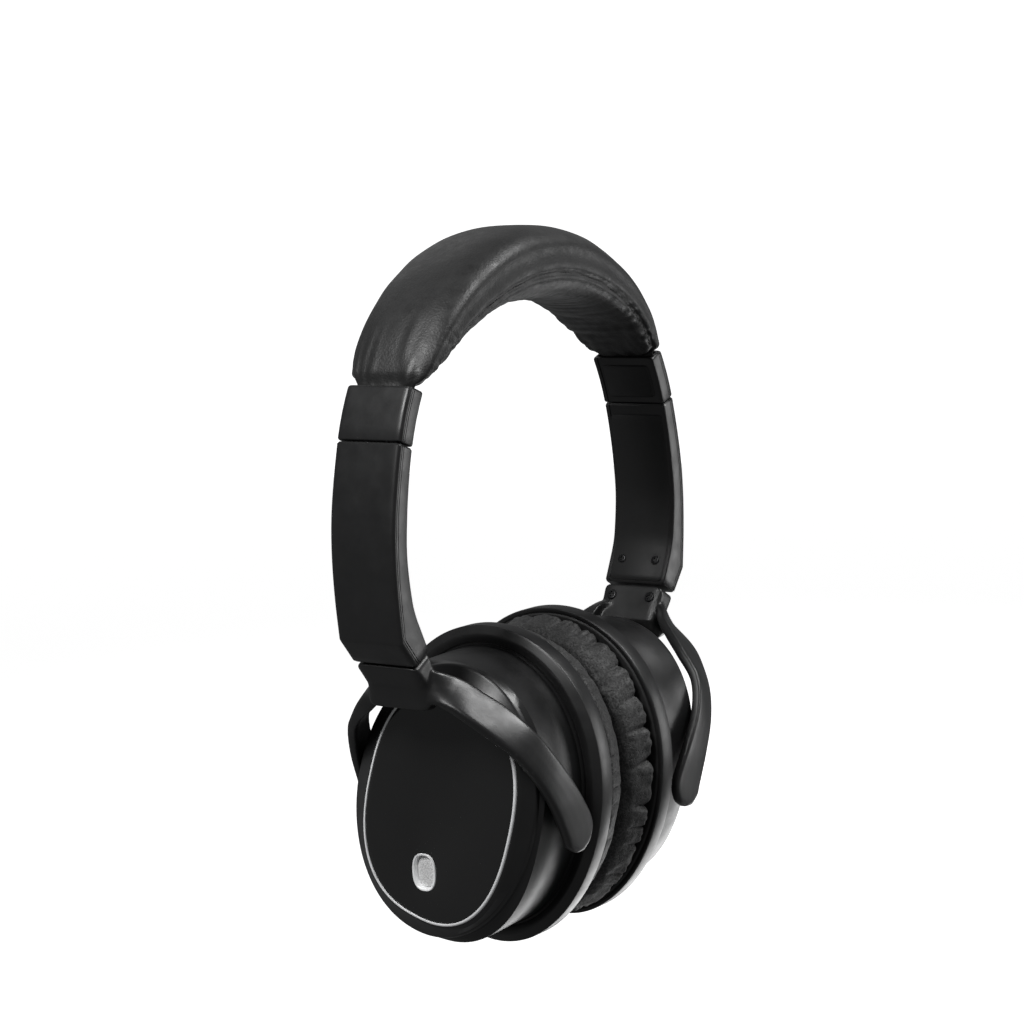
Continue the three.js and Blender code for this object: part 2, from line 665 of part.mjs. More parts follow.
function makeHousing(side, controls) {
  const recess = loft([plateRing(47.4, 1.0), plateRing(PLATE.x + 2, 1.0)]);
  const micWell = loft([micRing(44, 0.3), micRing(48, 0.3)]);
  const pins = [-1, 1].map((s) => {
    return bar([PIVOT.x, s * 28, PIVOT.z], [PIVOT.x, s * 40, PIVOT.z], PIVOT.radius + GAP);
  });
  const body = cut(housingSkin(), housingHollow(), recess, micWell, ...pins, ...controls.holes);
  return mesh(`${side}_cup_housing`, body, SATIN_BLACK);
}

function makeFacePlate(side) {
  const micHole = loft([micRing(44, 0.3), micRing(PLATE.x + 2, 0.3)]);
  const plate = cut(loft([plateRing(47.7, -0.3), plateRing(PLATE.x, -0.3)]), micHole);
  const trimOutside = loft([plateRing(47.7, 0.7), plateRing(PLATE.x - 0.35, 0.7), plateRing(PLATE.x + 0.2, 0.25)]);
  const trim = cut(trimOutside, loft([plateRing(47, 0), plateRing(PLATE.x + 2, 0)]));
  const bezelOutside = loft([micRing(45.6, 0), micRing(PLATE.x, 0), micRing(PLATE.x + 0.25, -0.3)]);
  const bezel = cut(bezelOutside, loft([micRing(45, -0.75), micRing(PLATE.x + 2, -0.75)]));
  const screen = loft([micRing(46.6, -1.05), micRing(47.4, -1.05)]);
  return [
    mesh(`${side}_face_plate`, plate, GLOSS_BLACK),
    mesh(`${side}_face_trim`, trim, SILVER),
    mesh(`${side}_mic_bezel`, bezel, SILVER),
    mesh(`${side}_mic_screen`, screen, SILVER),
  ];
}

/** The thin cloth that lies over the baffle, inside the cushion's opening. */
function clothRing(x) {
  const halfWidth = CUSHION.innerHalfWidth - 1;
  const halfHeight = CUSHION.innerHalfHeight - 1;
  return oval({ x, halfWidth, halfHeight, egg: CUP.egg }, CUSHION_STEPS);
}

/** The plate that closes the cup towards the head, with the driver in its middle. */
function makeBaffle(side) {
  const plate = loft([rimRing(RIM.back, 0.5), rimRing(RIM.back + 0.4, 0.1), rimRing(RIM.seam, 0.2)]);
  const opening = bar([0, 0, CUP.z], [30, 0, CUP.z], DRIVER.radius - 1.6, 24);
  const seat = bar([RIM.back + 0.9, 0, CUP.z], [30, 0, CUP.z], DRIVER.radius + GAP + 0.15, 24);
  const profile = [
    [0, 0], [DRIVER.radius - 4, 1], [DRIVER.radius, 0.4], [DRIVER.radius, 3], [14, 4.2],
    [DRIVER.magnetRadius, 5], [DRIVER.magnetRadius, DRIVER.depth], [0, DRIVER.depth],
  ];
  const points = profile.map(([r, h]) => new THREE.Vector2(r, h));
  const lathe = new THREE.LatheGeometry(points, 24).rotateZ(-Math.PI / 2);
  lathe.translate(RIM.back + 0.9, 0, CUP.z);
  const driver = solid(lathe);
  const cloth = loft([clothRing(RIM.back - 1.2), clothRing(RIM.back - 0.7)]);
  return [
    mesh(`${side}_driver_cloth`, cloth, DARK_FOAM),
    mesh(`${side}_baffle`, cut(plate, opening, seat), MATTE_BLACK),
    mesh(`${side}_speaker_driver`, driver.volume() > 0 ? driver : solid(turnedOut(lathe)), STEEL),
  ];
}

function makeCushion(side) {
  const outer = [[CUSHION.base, 5.9], [12.6, 4.0], [9.4, 3.0], [5.4, 3.4], [2.3, 5.0], [CUSHION.face + 0.1, 8.4]];
  const rings = outer.map(([x, inset]) => rimRing(x, inset, CUSHION_STEPS));
  const inner = [[CUSHION.face, 8.5], [1.3, 3.2], [4, 0.9], [9, 0], [CUSHION.base, 0.6]];
  for (const [x, grow] of inner) {
    const halfWidth = CUSHION.innerHalfWidth + grow;
    const halfHeight = CUSHION.innerHalfHeight + grow;
    rings.push(oval({ x, halfWidth, halfHeight, egg: CUP.egg }, CUSHION_STEPS));
  }
  return mesh(`${side}_ear_cushion`, loft(rings, true), LEATHER);
}

function makeElectronics(side) {
  if (side === "left") {
    const cell = box([30.5, -17, -68], [35.5, 17, -44]);
    return mesh("battery", cell, BATTERY_FOIL);
  }
  const board = box([34, -15, -80], [35.4, 15, -38]);
  const chips = [
    box([31.6, -6, -60], [34.2, 4, -50]),
    box([32.4, 5, -74], [34.2, 11, -68]),
    box([35.2, -8, -70], [37.2, 8, -62]),
  ];
  return mesh("circuit_board", join(board, ...chips), GREEN_BOARD);
}

function makeCup(side) {
  const controls = makeControls(side);
  const group = new THREE.Group();
  group.add(makeHousing(side, controls), ...makeFacePlate(side), ...makeBaffle(side));
  group.add(makeCushion(side), makeElectronics(side), ...controls.meshes);
  return group;
}

// ---------------------------------------------------------------- the whole

const headphones = new THREE.Group();
headphones.position.z = -BELOW_BAND;
headphones.add(makeHeadband());
for (const [side, sign] of [["left", -1], ["right", 1]]) {
  const half = new THREE.Group();
  half.scale.x = sign;
  half.add(makeEndCap(side), makeSliderArm(side), makeYoke(side), makeCup(side));
  headphones.add(half);
}

const part = new THREE.Group();
part.add(headphones);

export default part;
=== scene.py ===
import math

import bmesh
import bpy
from mathutils import Matrix, Vector, noise


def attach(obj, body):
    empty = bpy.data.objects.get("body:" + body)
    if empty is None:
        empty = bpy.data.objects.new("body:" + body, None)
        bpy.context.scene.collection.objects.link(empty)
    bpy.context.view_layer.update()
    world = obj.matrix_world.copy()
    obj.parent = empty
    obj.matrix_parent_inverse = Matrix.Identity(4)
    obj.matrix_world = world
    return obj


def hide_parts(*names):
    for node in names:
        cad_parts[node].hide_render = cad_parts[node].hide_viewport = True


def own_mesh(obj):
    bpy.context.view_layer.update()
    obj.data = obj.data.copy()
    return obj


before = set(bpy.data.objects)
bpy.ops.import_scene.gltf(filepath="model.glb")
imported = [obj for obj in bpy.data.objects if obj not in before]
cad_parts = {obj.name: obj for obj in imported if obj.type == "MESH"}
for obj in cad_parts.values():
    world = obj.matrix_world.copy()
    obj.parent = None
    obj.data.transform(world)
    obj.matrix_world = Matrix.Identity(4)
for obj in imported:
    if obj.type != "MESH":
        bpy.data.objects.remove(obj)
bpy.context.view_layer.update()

# Over-ear headphones hanging by their band. Lengths are in millimetres here and become metres in
# the meshes. "u" is the distance from the middle plane, so a piece of the left side has x = -u.

MM = 0.001
BAND_DROP = 96.5  # the underside of the band lies this far above the arms' kink
SIDES = (("left", -1), ("right", 1))

ARCH_Z = 42.8
CUP_Z, CUP_WIDE, CUP_HIGH, CUP_EGG = -55.8, 41.7, 51.3, 0.09
PLATE_Z, PLATE_WIDE, PLATE_HIGH, PLATE_LEAN, PLATE_SQUARE = -56.8, 26.9, 37.1, 17.3, 2.45
MIC_Y, MIC_Z, MIC_WIDE, MIC_HIGH = 6.5, -78.2, 4.3, 5.8
MOUTH = (72.5, 58.2)
SLIDE_TILT = math.radians(22)

# ---------------------------------------------------------------- camera, light and stage


def add_camera():
    data = bpy.data.cameras.new("camera")
    camera = bpy.data.objects.new("camera", data)
    bpy.context.scene.collection.objects.link(camera)
    back = Vector((-0.80533, -0.57886, 0.12793)).normalized()
    level = Vector((0.58366, -0.81201, 0.0)).normalized()
    upright = back.cross(level)
    roll = math.radians(-2.28)
    right = math.cos(roll) * level + math.sin(roll) * upright
    up = back.cross(right)
    target = Vector((-4.16, 0, 29.31 - BAND_DROP)) * MM
    turn = Matrix((right, up, back)).transposed().to_4x4()
    camera.matrix_world = Matrix.Translation(target + back * 0.8077) @ turn
    data.lens = 89.19
    data.sensor_width = 36
    data.clip_end = 50
    bpy.context.scene.camera = camera


def add_softbox(name, place, aim, size, watts):
    data = bpy.data.lights.new(name, "AREA")
    data.shape = "RECTANGLE"
    data.size, data.size_y = size
    data.energy = watts
    light = bpy.data.objects.new(name, data)
    bpy.context.scene.collection.objects.link(light)
    light.location = place
    light.rotation_mode = "QUATERNION"
    light.rotation_quaternion = (Vector(aim) - Vector(place)).to_track_quat("-Z", "Y")


def add_lights():
    middle = (0, 0, -0.09)
    add_softbox("top_box", (0.34, -0.63, 0.82), (-0.05, -0.02, -0.13), (0.45, 0.35), 9)
    add_softbox("key_box", (-0.95, 0.1, 0.85), middle, (0.5, 0.5), 17)
    add_softbox("side_box", (0.85, -0.75, -0.1), middle, (0.3, 0.5), 2.5)
    add_softbox("low_box", (0.8, 0.0, -0.75), middle, (0.7, 0.5), 3.4)
    add_softbox("back_box", (0.6, 0.9, 0.75), middle, (0.6, 0.5), 0.6)


def add_stage():
    """A pale round floor that curves up at its edge, like a paper sweep all round."""
    flat, curve, top, below, steps = 2.2, 1.6, 3.4, 0.3, 96
    profile = [(flat, 0)]
    for i in range(1, 13):
        a = math.pi / 2 * i / 12
        profile.append((flat + curve * math.sin(a), curve * (1 - math.cos(a))))
    profile.append((flat + curve, top))
    bm = bmesh.new()
    rings = [ring_at(bm, r, h - below, steps) for r, h in profile]
    bm.faces.new(rings[0])
    bridge(bm, rings)
    mesh = bpy.data.meshes.new("floor")
    bm.to_mesh(mesh)
    bm.free()
    floor = bpy.data.objects.new("floor", mesh)
    bpy.context.scene.collection.objects.link(floor)
    smooth_all(mesh)
    mesh.materials.append(paper())
    floor.visible_glossy = False
    floor.visible_diffuse = False
    floor.visible_shadow = False


def add_world():
    world = bpy.data.worlds.new("studio")
    bpy.context.scene.world = world
    world.use_nodes = True
    back = world.node_tree.nodes["Background"]
    back.inputs["Color"].default_value = (0.93, 0.94, 0.95, 1)
    back.inputs["Strength"].default_value = 0.16
    bpy.context.scene.view_settings.view_transform = "Standard"


# ---------------------------------------------------------------- materials


class Shader:
    """A node material under construction, in object coordinates of metres."""

    def __init__(self, name, roughness=0.5, metallic=0.0, specular=0.5, coat=0.0):
        self.material = bpy.data.materials.new(name)
        self.material.use_nodes = True
        self.tree = self.material.node_tree
        self.surface = self.tree.nodes["Principled BSDF"]
        self.surface.inputs["Roughness"].default_value = roughness
        self.surface.inputs["Metallic"].default_value = metallic
        self.surface.inputs["Specular IOR Level"].default_value = specular
        self.surface.inputs["Coat Weight"].default_value = coat
        self.place = self.node("ShaderNodeTexCoord").outputs["Object"]

    def node(self, kind, **inputs):
        made = self.tree.nodes.new(kind)
        for key, value in inputs.items():
            self.feed(made.inputs[key.replace("_", " ")], value)
        return made

    def feed(self, socket, value):
        if isinstance(value, bpy.types.NodeSocket):
            self.tree.links.new(value, socket)
        else:
            socket.default_value = value

    def noise(self, millimetres, detail=3.0, roughness=0.55):
        made = self.node("ShaderNodeTexNoise", Vector=self.place, Detail=detail, Roughness=roughness)
        made.inputs["Scale"].default_value = 1 / (millimetres * MM)
        return made.outputs["Fac"]

    def cells(self, millimetres, feature="F1", randomness=1.0):
        made = self.node("ShaderNodeTexVoronoi", Vector=self.place)
        made.feature = feature
        made.inputs["Scale"].default_value = 1 / (millimetres * MM)
        made.inputs["Randomness"].default_value = randomness
        return made.outputs["Distance"]

    def span(self, value, low, high, to_low=0.0, to_high=1.0):
        made = self.node("ShaderNodeMapRange", Value=value)
        for key, number in zip(("From Min", "From Max", "To Min", "To Max"), (low, high, to_low, to_high)):
            made.inputs[key].default_value = number
        return made.outputs["Result"]

    def maths(self, operation, a, b):
        made = self.node("ShaderNodeMath")
        made.operation = operation
        self.feed(made.inputs[0], a)
        self.feed(made.inputs[1], b)
        return made.outputs[0]

    def mix(self, amount, a, b):
        made = self.node("ShaderNodeMix")
        made.data_type = "RGBA"
        self.feed(made.inputs["Factor"], amount)
        self.feed(made.inputs[6], a)
        self.feed(made.inputs[7], b)
        return made.outputs[2]

    def bump(self, height, millimetres, strength=1.0, below=None):
        made = self.node("ShaderNodeBump", Height=height, Strength=strength)
        made.inputs["Distance"].default_value = millimetres * MM
        if below is not None:
            self.feed(made.inputs["Normal"], below)
        return made.outputs["Normal"]

    def edges(self, low=0.52, high=0.62):
        geometry = self.node("ShaderNodeNewGeometry")
        return self.span(geometry.outputs["Pointiness"], low, high)

    def finish(self, colour=None, roughness=None, normal=None):
        for key, value in (("Base Color", colour), ("Roughness", roughness), ("Normal", normal)):
            if value is not None:
                self.feed(self.surface.inputs[key], value)
        return self.material


def grey(value, tint=(1.0, 1.0, 1.0)):
    return (value * tint[0], value * tint[1], value * tint[2], 1.0)


def paper():
    s = Shader("pale_paper", roughness=0.9, specular=0.2)
    colour = s.mix(s.noise(160), grey(0.86), grey(0.9))
    s.surface.inputs["Emission Color"].default_value = grey(0.98)
    s.surface.inputs["Emission Strength"].default_value = 1.0
    return s.finish(colour, normal=s.bump(s.noise(3), 0.05, 0.2))


def moulded(name, value, roughness, grain, worn, tint=(1.0, 1.0, 1.03)):
    """Moulded plastic: fine spark grain, faint flow marks, edges rubbed a little paler."""
    s = Shader(name, roughness)
    clouds = s.span(s.noise(14, 4), 0.3, 0.7)
    body = s.mix(clouds, grey(value * 0.88, tint), grey(value * 1.14, tint))
    scuffs = s.span(s.noise(2.2, 6, 0.7), 0.5, 0.75)
    rub = s.maths("MULTIPLY", s.edges(), s.span(scuffs, 0.0, 1.0, 0.35, 1.0))
    colour = s.mix(rub, body, grey(value * worn, tint))
    uneven = s.span(s.noise(6, 5), 0.3, 0.7, roughness - 0.05, roughness + 0.06)
    rough = s.maths("SUBTRACT", uneven, s.maths("MULTIPLY", rub, 0.1))
    flow = s.bump(s.noise(9, 2), 0.02, 0.35)
    return s.finish(colour, rough, s.bump(s.noise(0.28, 2, 0.5), 0.012, grain, flow))


def polished(name, value, roughness):
    """Polished black plastic with hairline scratches and a clear coat."""
    s = Shader(name, roughness, coat=0.35)
    s.surface.inputs["Coat Roughness"].default_value = 0.12
    body = s.mix(s.noise(20, 3), grey(value * 0.85), grey(value * 1.2))
    hairs = s.node("ShaderNodeTexNoise", Vector=s.place, Detail=5.0)
    hairs.inputs["Scale"].default_value = 420
    hairs.inputs["Distortion"].default_value = 2.4
    rough = s.span(hairs.outputs["Fac"], 0.35, 0.7, roughness - 0.03, roughness + 0.08)
    rub = s.maths("MULTIPLY", s.edges(), 0.5)
    colour = s.mix(rub, body, grey(value * 3))
    return s.finish(colour, rough, s.bump(s.noise(7, 2), 0.01, 0.25))


def metal(name, colour, roughness, brushed=0.4, metallic=1.0):
    s = Shader(name, roughness, metallic)
    streaks = s.node("ShaderNodeTexNoise", Detail=4.0)
    stretch = s.node("ShaderNodeMapping", Vector=s.place)
    stretch.inputs["Scale"].default_value = (3.0, 3.0, 0.2)
    s.feed(streaks.inputs["Vector"], stretch.outputs["Vector"])
    streaks.inputs["Scale"].default_value = 2600
    tone = s.mix(s.noise(3, 4), [c * 0.86 for c in colour] + [1], [min(1, c * 1.05) for c in colour] + [1])
    rough = s.span(streaks.outputs["Fac"], 0.3, 0.7, roughness - 0.05, roughness + 0.1)
    return s.finish(tone, rough, s.bump(streaks.outputs["Fac"], 0.01, brushed))


def band_leather():
    """Fine-grained black leather: small closed cells, soft folds, rubbed high spots."""
    s = Shader("band_leather", 0.45)
    s.surface.inputs["Sheen Weight"].default_value = 0.06
    s.surface.inputs["Sheen Roughness"].default_value = 0.4
    cells = s.cells(0.75)
    fine = s.cells(0.32)
    tone = s.mix(s.span(s.noise(11, 5), 0.3, 0.7), grey(0.005), grey(0.0085))
    pits = s.span(cells, 0.0, 0.55)
    colour = s.mix(s.maths("MULTIPLY", pits, 0.4), tone, grey(0.013))
    rough = s.span(s.noise(3.5, 5), 0.3, 0.7, 0.4, 0.56)
    folds = s.bump(s.noise(7, 4, 0.6), 0.22, 0.5)
    grain = s.bump(cells, 0.09, 0.55, folds)
    return s.finish(colour, rough, s.bump(fine, 0.03, 0.4, grain))


def cushion_leather():
    """Soft leatherette with a dense field of pinholes and a light dusting between them."""
    s = Shader("cushion_leather", 0.62)
    s.surface.inputs["Sheen Weight"].default_value = 0.05
    s.surface.inputs["Sheen Roughness"].default_value = 0.5
    holes = s.span(s.cells(0.85), 0.2, 0.34)
    speckle = s.span(s.noise(0.75, 2), 0.42, 0.62)
    tone = s.mix(speckle, grey(0.004), grey(0.05))
    patches = s.mix(s.span(s.noise(9, 4), 0.3, 0.9), tone, grey(0.011))
    colour = s.mix(holes, grey(0.003), patches)
    rough = s.span(s.noise(2.5, 4), 0.3, 0.7, 0.55, 0.74)
    folds = s.bump(s.noise(4.5, 4, 0.6), 0.2, 0.5)
    return s.finish(colour, rough, s.bump(holes, 0.1, 0.8, folds))


def thread():
    s = Shader("thread", 0.7)
    twist = s.cells(0.3)
    colour = s.mix(twist, grey(0.05), grey(0.016))
    return s.finish(colour, normal=s.bump(twist, 0.06, 0.8))


def knit():
    s = Shader("driver_cloth", 0.85)
    loops = s.cells(0.5, randomness=0.15)
    colour = s.mix(s.span(loops, 0.1, 0.5), grey(0.008), grey(0.035))
    return s.finish(colour, normal=s.bump(loops, 0.15, 0.8))


def punched_metal():
    """Silver screen with close rows of punched holes."""
    s = Shader("mic_screen", 0.4, metallic=0.3)
    holes = s.span(s.cells(0.52, randomness=0.35), 0.12, 0.3)
    glint = s.mix(s.span(s.noise(0.35, 2), 0.35, 0.65), grey(0.5), grey(0.95))
    colour = s.mix(holes, grey(0.3), glint)
    return s.finish(colour, s.span(s.noise(0.6), 0.3, 0.7, 0.25, 0.5), s.bump(holes, 0.15, 0.9))


def circuit_green():
    s = Shader("board", 0.4)
    tracks = s.span(s.cells(2.6, "DISTANCE_TO_EDGE"), 0.06, 0.1)
    colour = s.mix(tracks, (0.03, 0.16, 0.06, 1), (0.012, 0.07, 0.03, 1))
    return s.finish(colour, normal=s.bump(tracks, 0.05, 0.5))


def foil():
    s = Shader("foil", 0.35)
    colour = s.mix(s.noise(5, 4), grey(0.3), grey(0.42))
    return s.finish(colour, s.span(s.noise(1.5), 0.3, 0.7, 0.3, 0.5), s.bump(s.noise(4, 5), 0.1, 0.6))


def make_materials():
    return {
        "satin": moulded("satin_black", 0.0085, 0.36, 0.35, 2.6),
        "matte": moulded("matte_black", 0.0075, 0.52, 0.5, 2.0),
        "plate": polished("gloss_black", 0.007, 0.2),
        # Trim and mic frame: a near-white base with little metallic is a painted reflection, standing in
        # for the white surroundings that the bright trim mirrors.
        "silver_painted_reflection": metal("bright_trim", (0.93, 0.935, 0.94), 0.3, 0.1, 0.15),
        "steel": metal("steel", (0.5, 0.51, 0.52), 0.3),
        # Screw heads: the near-black colour is painted shade, standing in for the dark wells the screws sit
        # in.
        "steel_painted_shade": metal("dark_screw", (0.012, 0.012, 0.013), 0.3, 0.2, 0.5),
        "band": band_leather(),
        "cushion": cushion_leather(),
        "thread": thread(),
        "cloth": knit(),
        "screen": punched_metal(),
        "board": circuit_green(),
        "foil": foil(),
    }


# ---------------------------------------------------------------- meshes


def to_row(point, sign=1):
    """A [u, y, z] of one side, z counted from the arm's kink, as a point of the row frame in metres."""
    u, y, z = point
    return Vector((sign * u, y, z - BAND_DROP)) * MM


def add_object(name, mesh, material, body, replaced=()):
    piece = bpy.data.objects.new(name, mesh)
    bpy.context.scene.collection.objects.link(piece)
    mesh.materials.append(material)
    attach(piece, body)
    if replaced:
        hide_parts(*replaced)
    return piece


def smooth_by_angle(bm, degrees):
    """Smooth shading, with a sharp edge wherever two faces meet at more than this angle."""
    for face in bm.faces:
        face.smooth = True
    limit = math.radians(degrees)
    for edge in bm.edges:
        if len(edge.link_faces) == 2:
            edge.smooth = edge.calc_face_angle(0.0) < limit


def bm_to_mesh(name, bm, angle=35):
    bmesh.ops.recalc_face_normals(bm, faces=bm.faces)
    if angle:
        smooth_by_angle(bm, angle)
    mesh = bpy.data.meshes.new(name)
    bm.to_mesh(mesh)
    bm.free()
    return mesh


def bridge(bm, rings):
    """Joins each ring of vertices to the next with four-sided faces."""
    for here, there in zip(rings, rings[1:]):
        for i in range(len(here)):
            j = (i + 1) % len(here)
            bm.faces.new((here[i], here[j], there[j], there[i]))


def bake(piece):
    """Writes a piece's modifiers into its mesh."""
    bpy.context.view_layer.update()
    baked = bpy.data.meshes.new_from_object(piece.evaluated_get(bpy.context.evaluated_depsgraph_get()))
    piece.modifiers.clear()
    old = piece.data
    piece.data = baked
    bpy.data.meshes.remove(old)
    baked.name = piece.name


def smooth_all(mesh):
    for polygon in mesh.polygons:
        polygon.use_smooth = True


def add_loft(bm, rings, sign, ring_loop=False):
    """Adds a closed skin through rings of [u, y, z] points; ring_loop joins the last to the first."""
    made = [[bm.verts.new(to_row(p, sign)) for p in ring] for ring in rings]
    bridge(bm, made + made[:1] if ring_loop else made)
    if not ring_loop:
        bm.faces.new(made[0])
        bm.faces.new(list(reversed(made[-1])))


def loft(name, rings, sign, ring_loop=False, angle=35):
    bm = bmesh.new()
    add_loft(bm, rings, sign, ring_loop)
    return bm_to_mesh(name, bm, angle)


def catmull(points, steps):
    """Points on a smooth curve through tuples of numbers, steps of them between each two."""
    out = []
    for i in range(len(points) - 1):
        a, b, c, d = (points[max(0, min(len(points) - 1, i + k))] for k in (-1, 0, 1, 2))
        for s in range(steps):
            t = s / steps
            out.append(tuple(
                0.5 * (2 * q + (r - p) * t + (2 * p - 5 * q + 4 * r - w) * t * t
                       + (3 * q - p - 3 * r + w) * t ** 3)
                for p, q, r, w in zip(a, b, c, d)))
    out.append(tuple(points[-1]))
    return out


def ramp(value, low, high):
    t = max(0.0, min(1.0, (value - low) / (high - low)))
    return t * t * (3 - 2 * t)


def power(value, exponent):
    return math.copysign(abs(value) ** exponent, value)


def oval(u, wide, high, y=0.0, z=CUP_Z, egg=0.0, lean=0.0, square=2.0, steps=144):
    """A ring in the plane u, leaning by an angle in degrees, as on the CAD part."""
    ring = []
    turn = math.radians(lean)
    for i in range(steps):
        a = 2 * math.pi * i / steps
        up = high * power(math.sin(a), 2 / square)
        side = wide * power(math.cos(a), 2 / square) * (1 + egg * up / high)
        ring.append((u, y + side * math.cos(turn) - up * math.sin(turn),
                     z + side * math.sin(turn) + up * math.cos(turn)))
    return ring


def rim_ring(u, inset):
    return oval(u, CUP_WIDE - inset, CUP_HIGH - inset, egg=CUP_EGG)


def plate_ring(u, grow):
    return oval(u, PLATE_WIDE + grow, PLATE_HIGH + grow, z=PLATE_Z, lean=PLATE_LEAN,
                square=PLATE_SQUARE)


def shell_ring(u, wide, high, share):
    z = CUP_Z + (PLATE_Z - CUP_Z) * share
    square = 2 + (PLATE_SQUARE - 2) * share
    return oval(u, wide, high, z=z, egg=CUP_EGG * (1 - share), lean=PLATE_LEAN * share, square=square)


def mic_ring(u, grow):
    return oval(u, MIC_WIDE + grow, MIC_HIGH + grow, y=MIC_Y, z=MIC_Z, square=2.5)


# ---------------------------------------------------------------- ear cups


# The wells of the controls: angle round the cup in degrees, u, half length, half width, depth.
LEFT_WELLS = ((49, 32, 4.6, 1.8, 8), (84, 33, 5.0, 2.2, 8), (104, 33, 3.4, 3.4, 9.3))
RIGHT_WELLS = ((36, 32, 3.7, 2.2, 8), (49, 32, 2.9, 2.2, 8), (62, 32, 3.7, 2.2, 8))
WELL_WIDE, WELL_HIGH, WELL_STEPS = 34.5, 44.1, 40


def dome_edge(u, grow):
    """The crease where the dome ends and the slope up to the face plate begins."""
    return oval(u, 33.2 + grow, 44.6 + grow, y=0.9, z=-56.1, lean=19.6, square=2.08)


def cup_shell(side, sign, looks):
    dome = [(21.9, 35.4, 45.0, 0.0), (22.6, 35.15, 44.9, 0.0), (24.4, 35.1, 44.9, 0.04),
            (30, 35.0, 44.9, 0.15), (37, 34.8, 45.0, 0.5), (42.5, 34.0, 44.9, 0.84)]
    rim = ((14.9, 1.6), (14.5, 1.5), (14.4, 1.1), (14.45, 0.45), (14.75, 0.12), (15.2, 0.0), (20.1, 0.0),
           (20.45, 0.08), (20.65, 0.3), (20.85, 0.7), (21.75, 2.4), (21.9, 2.75), (21.95, 3.1),
           (21.75, 4.0), (21.5, 5.0), (21.35, 5.35), (20.9, 5.5), (20.9, 5.9), (21.5, 6.05))
    rings = [rim_ring(u, inset) for u, inset in rim]
    rings += [shell_ring(*values) for values in catmull(dome, 5)]
    edge = ((43.9, 0.65), (44.7, 0.5), (45.2, 0.3), (45.55, 0.0), (45.8, -0.4))
    rings += [dome_edge(u, grow) for u, grow in edge]
    slope = ((48.4, 2.3), (48.95, 1.6), (49.15, 1.3), (49.2, 1.05), (49.0, 0.98), (47.5, 0.98))
    rings += [plate_ring(u, grow) for u, grow in slope]
    mesh = loft(f"{side}_cup_shell", rings, sign, angle=24)
    shell = add_object(f"{side}_cup_shell", mesh, looks["satin"], f"{side}_cup",
                       [f"{side}_cup_housing"])
    cut_wells(shell, sign, LEFT_WELLS if sign < 0 else RIGHT_WELLS)


def cut_wells(shell, sign, wells):
    """Cuts the wells of the keys, the switch and the sockets into a cup's side."""
    bm = bmesh.new()
    for degrees, u, half_long, half_wide, deep in wells:
        t = math.radians(degrees)
        outward = Vector((0, CUP_HIGH * math.cos(t), -CUP_WIDE * math.sin(t))).normalized()
        along = outward.cross(Vector((1, 0, 0)))
        y = WELL_WIDE * math.cos(t) * (1 - CUP_EGG * math.sin(t))
        centre = to_row((u, y, CUP_Z - WELL_HIGH * math.sin(t)), sign)
        loops = []
        for depth in (-deep, 4.0):
            loop = []
            for i in range(WELL_STEPS):
                a = math.tau * (i + 0.5) / WELL_STEPS
                shift = math.copysign(half_long - half_wide, math.cos(a))
                flat = along * (half_wide * math.cos(a) + shift) + Vector((half_wide * math.sin(a), 0, 0))
                loop.append(bm.verts.new(centre + (flat + outward * depth) * MM))
            loops.append(loop)
        bridge(bm, loops)
        bm.faces.new(loops[0])
        bm.faces.new(list(reversed(loops[1])))
    cutter = bpy.data.objects.new("wells", bm_to_mesh("wells", bm, 0))
    bpy.context.scene.collection.objects.link(cutter)
    carve = shell.modifiers.new("carve", "BOOLEAN")
    carve.operation = "DIFFERENCE"
    carve.solver = "EXACT"
    carve.object = cutter
    bake(shell)
    bpy.data.meshes.remove(cutter.data)
    bm = bmesh.new()
    bm.from_mesh(shell.data)
    smooth_by_angle(bm, 24)
    bm.to_mesh(shell.data)
    bm.free()


def cup_front(side, sign, looks):
    body = f"{side}_cup"
    face = [plate_ring(47.55, -0.05), plate_ring(49.35, -0.05), plate_ring(49.52, -0.12),
            plate_ring(49.6, -0.3), plate_ring(49.6, -1.5), mic_ring(49.6, 0.55), mic_ring(49.55, 0.38),
            mic_ring(49.3, 0.32), mic_ring(47.55, 0.3)]
    add_object(f"{side}_plate", loft(f"{side}_plate", face, sign, True), looks["plate"], body,
               [f"{side}_face_plate"])
    # The trim ring and the mic frame below take the near-white look, a painted reflection of the white
    # surroundings.
    trim = [plate_ring(47.6, 0.02), plate_ring(49.6, 0.02), plate_ring(49.78, 0.12), plate_ring(49.8, 0.4),
            plate_ring(49.62, 0.72), plate_ring(49.3, 0.9), plate_ring(47.6, 0.9)]
    add_object(f"{side}_trim_ring", loft(f"{side}_trim_ring", trim, sign, True, 50), looks["silver_painted_reflection"],
               body, [f"{side}_face_trim"])
    bezel = [mic_ring(46.2, 0.2), mic_ring(49.65, 0.2), mic_ring(49.85, 0.06), mic_ring(49.85, -0.3),
             mic_ring(49.7, -0.5), mic_ring(48.1, -0.85), mic_ring(46.2, -0.9)]
    add_object(f"{side}_mic_frame", loft(f"{side}_mic_frame", bezel, sign, True, 50), looks["silver_painted_reflection"],
               body, [f"{side}_mic_bezel"])
    screen = [mic_ring(46.6, -0.95), mic_ring(48.2, -0.95), mic_ring(48.5, -1.3), mic_ring(48.65, -2.4),
              mic_ring(48.7, -3.6)]
    add_object(f"{side}_mic_grille", loft(f"{side}_mic_grille", screen, sign), looks["screen"],
               body, [f"{side}_mic_screen"])


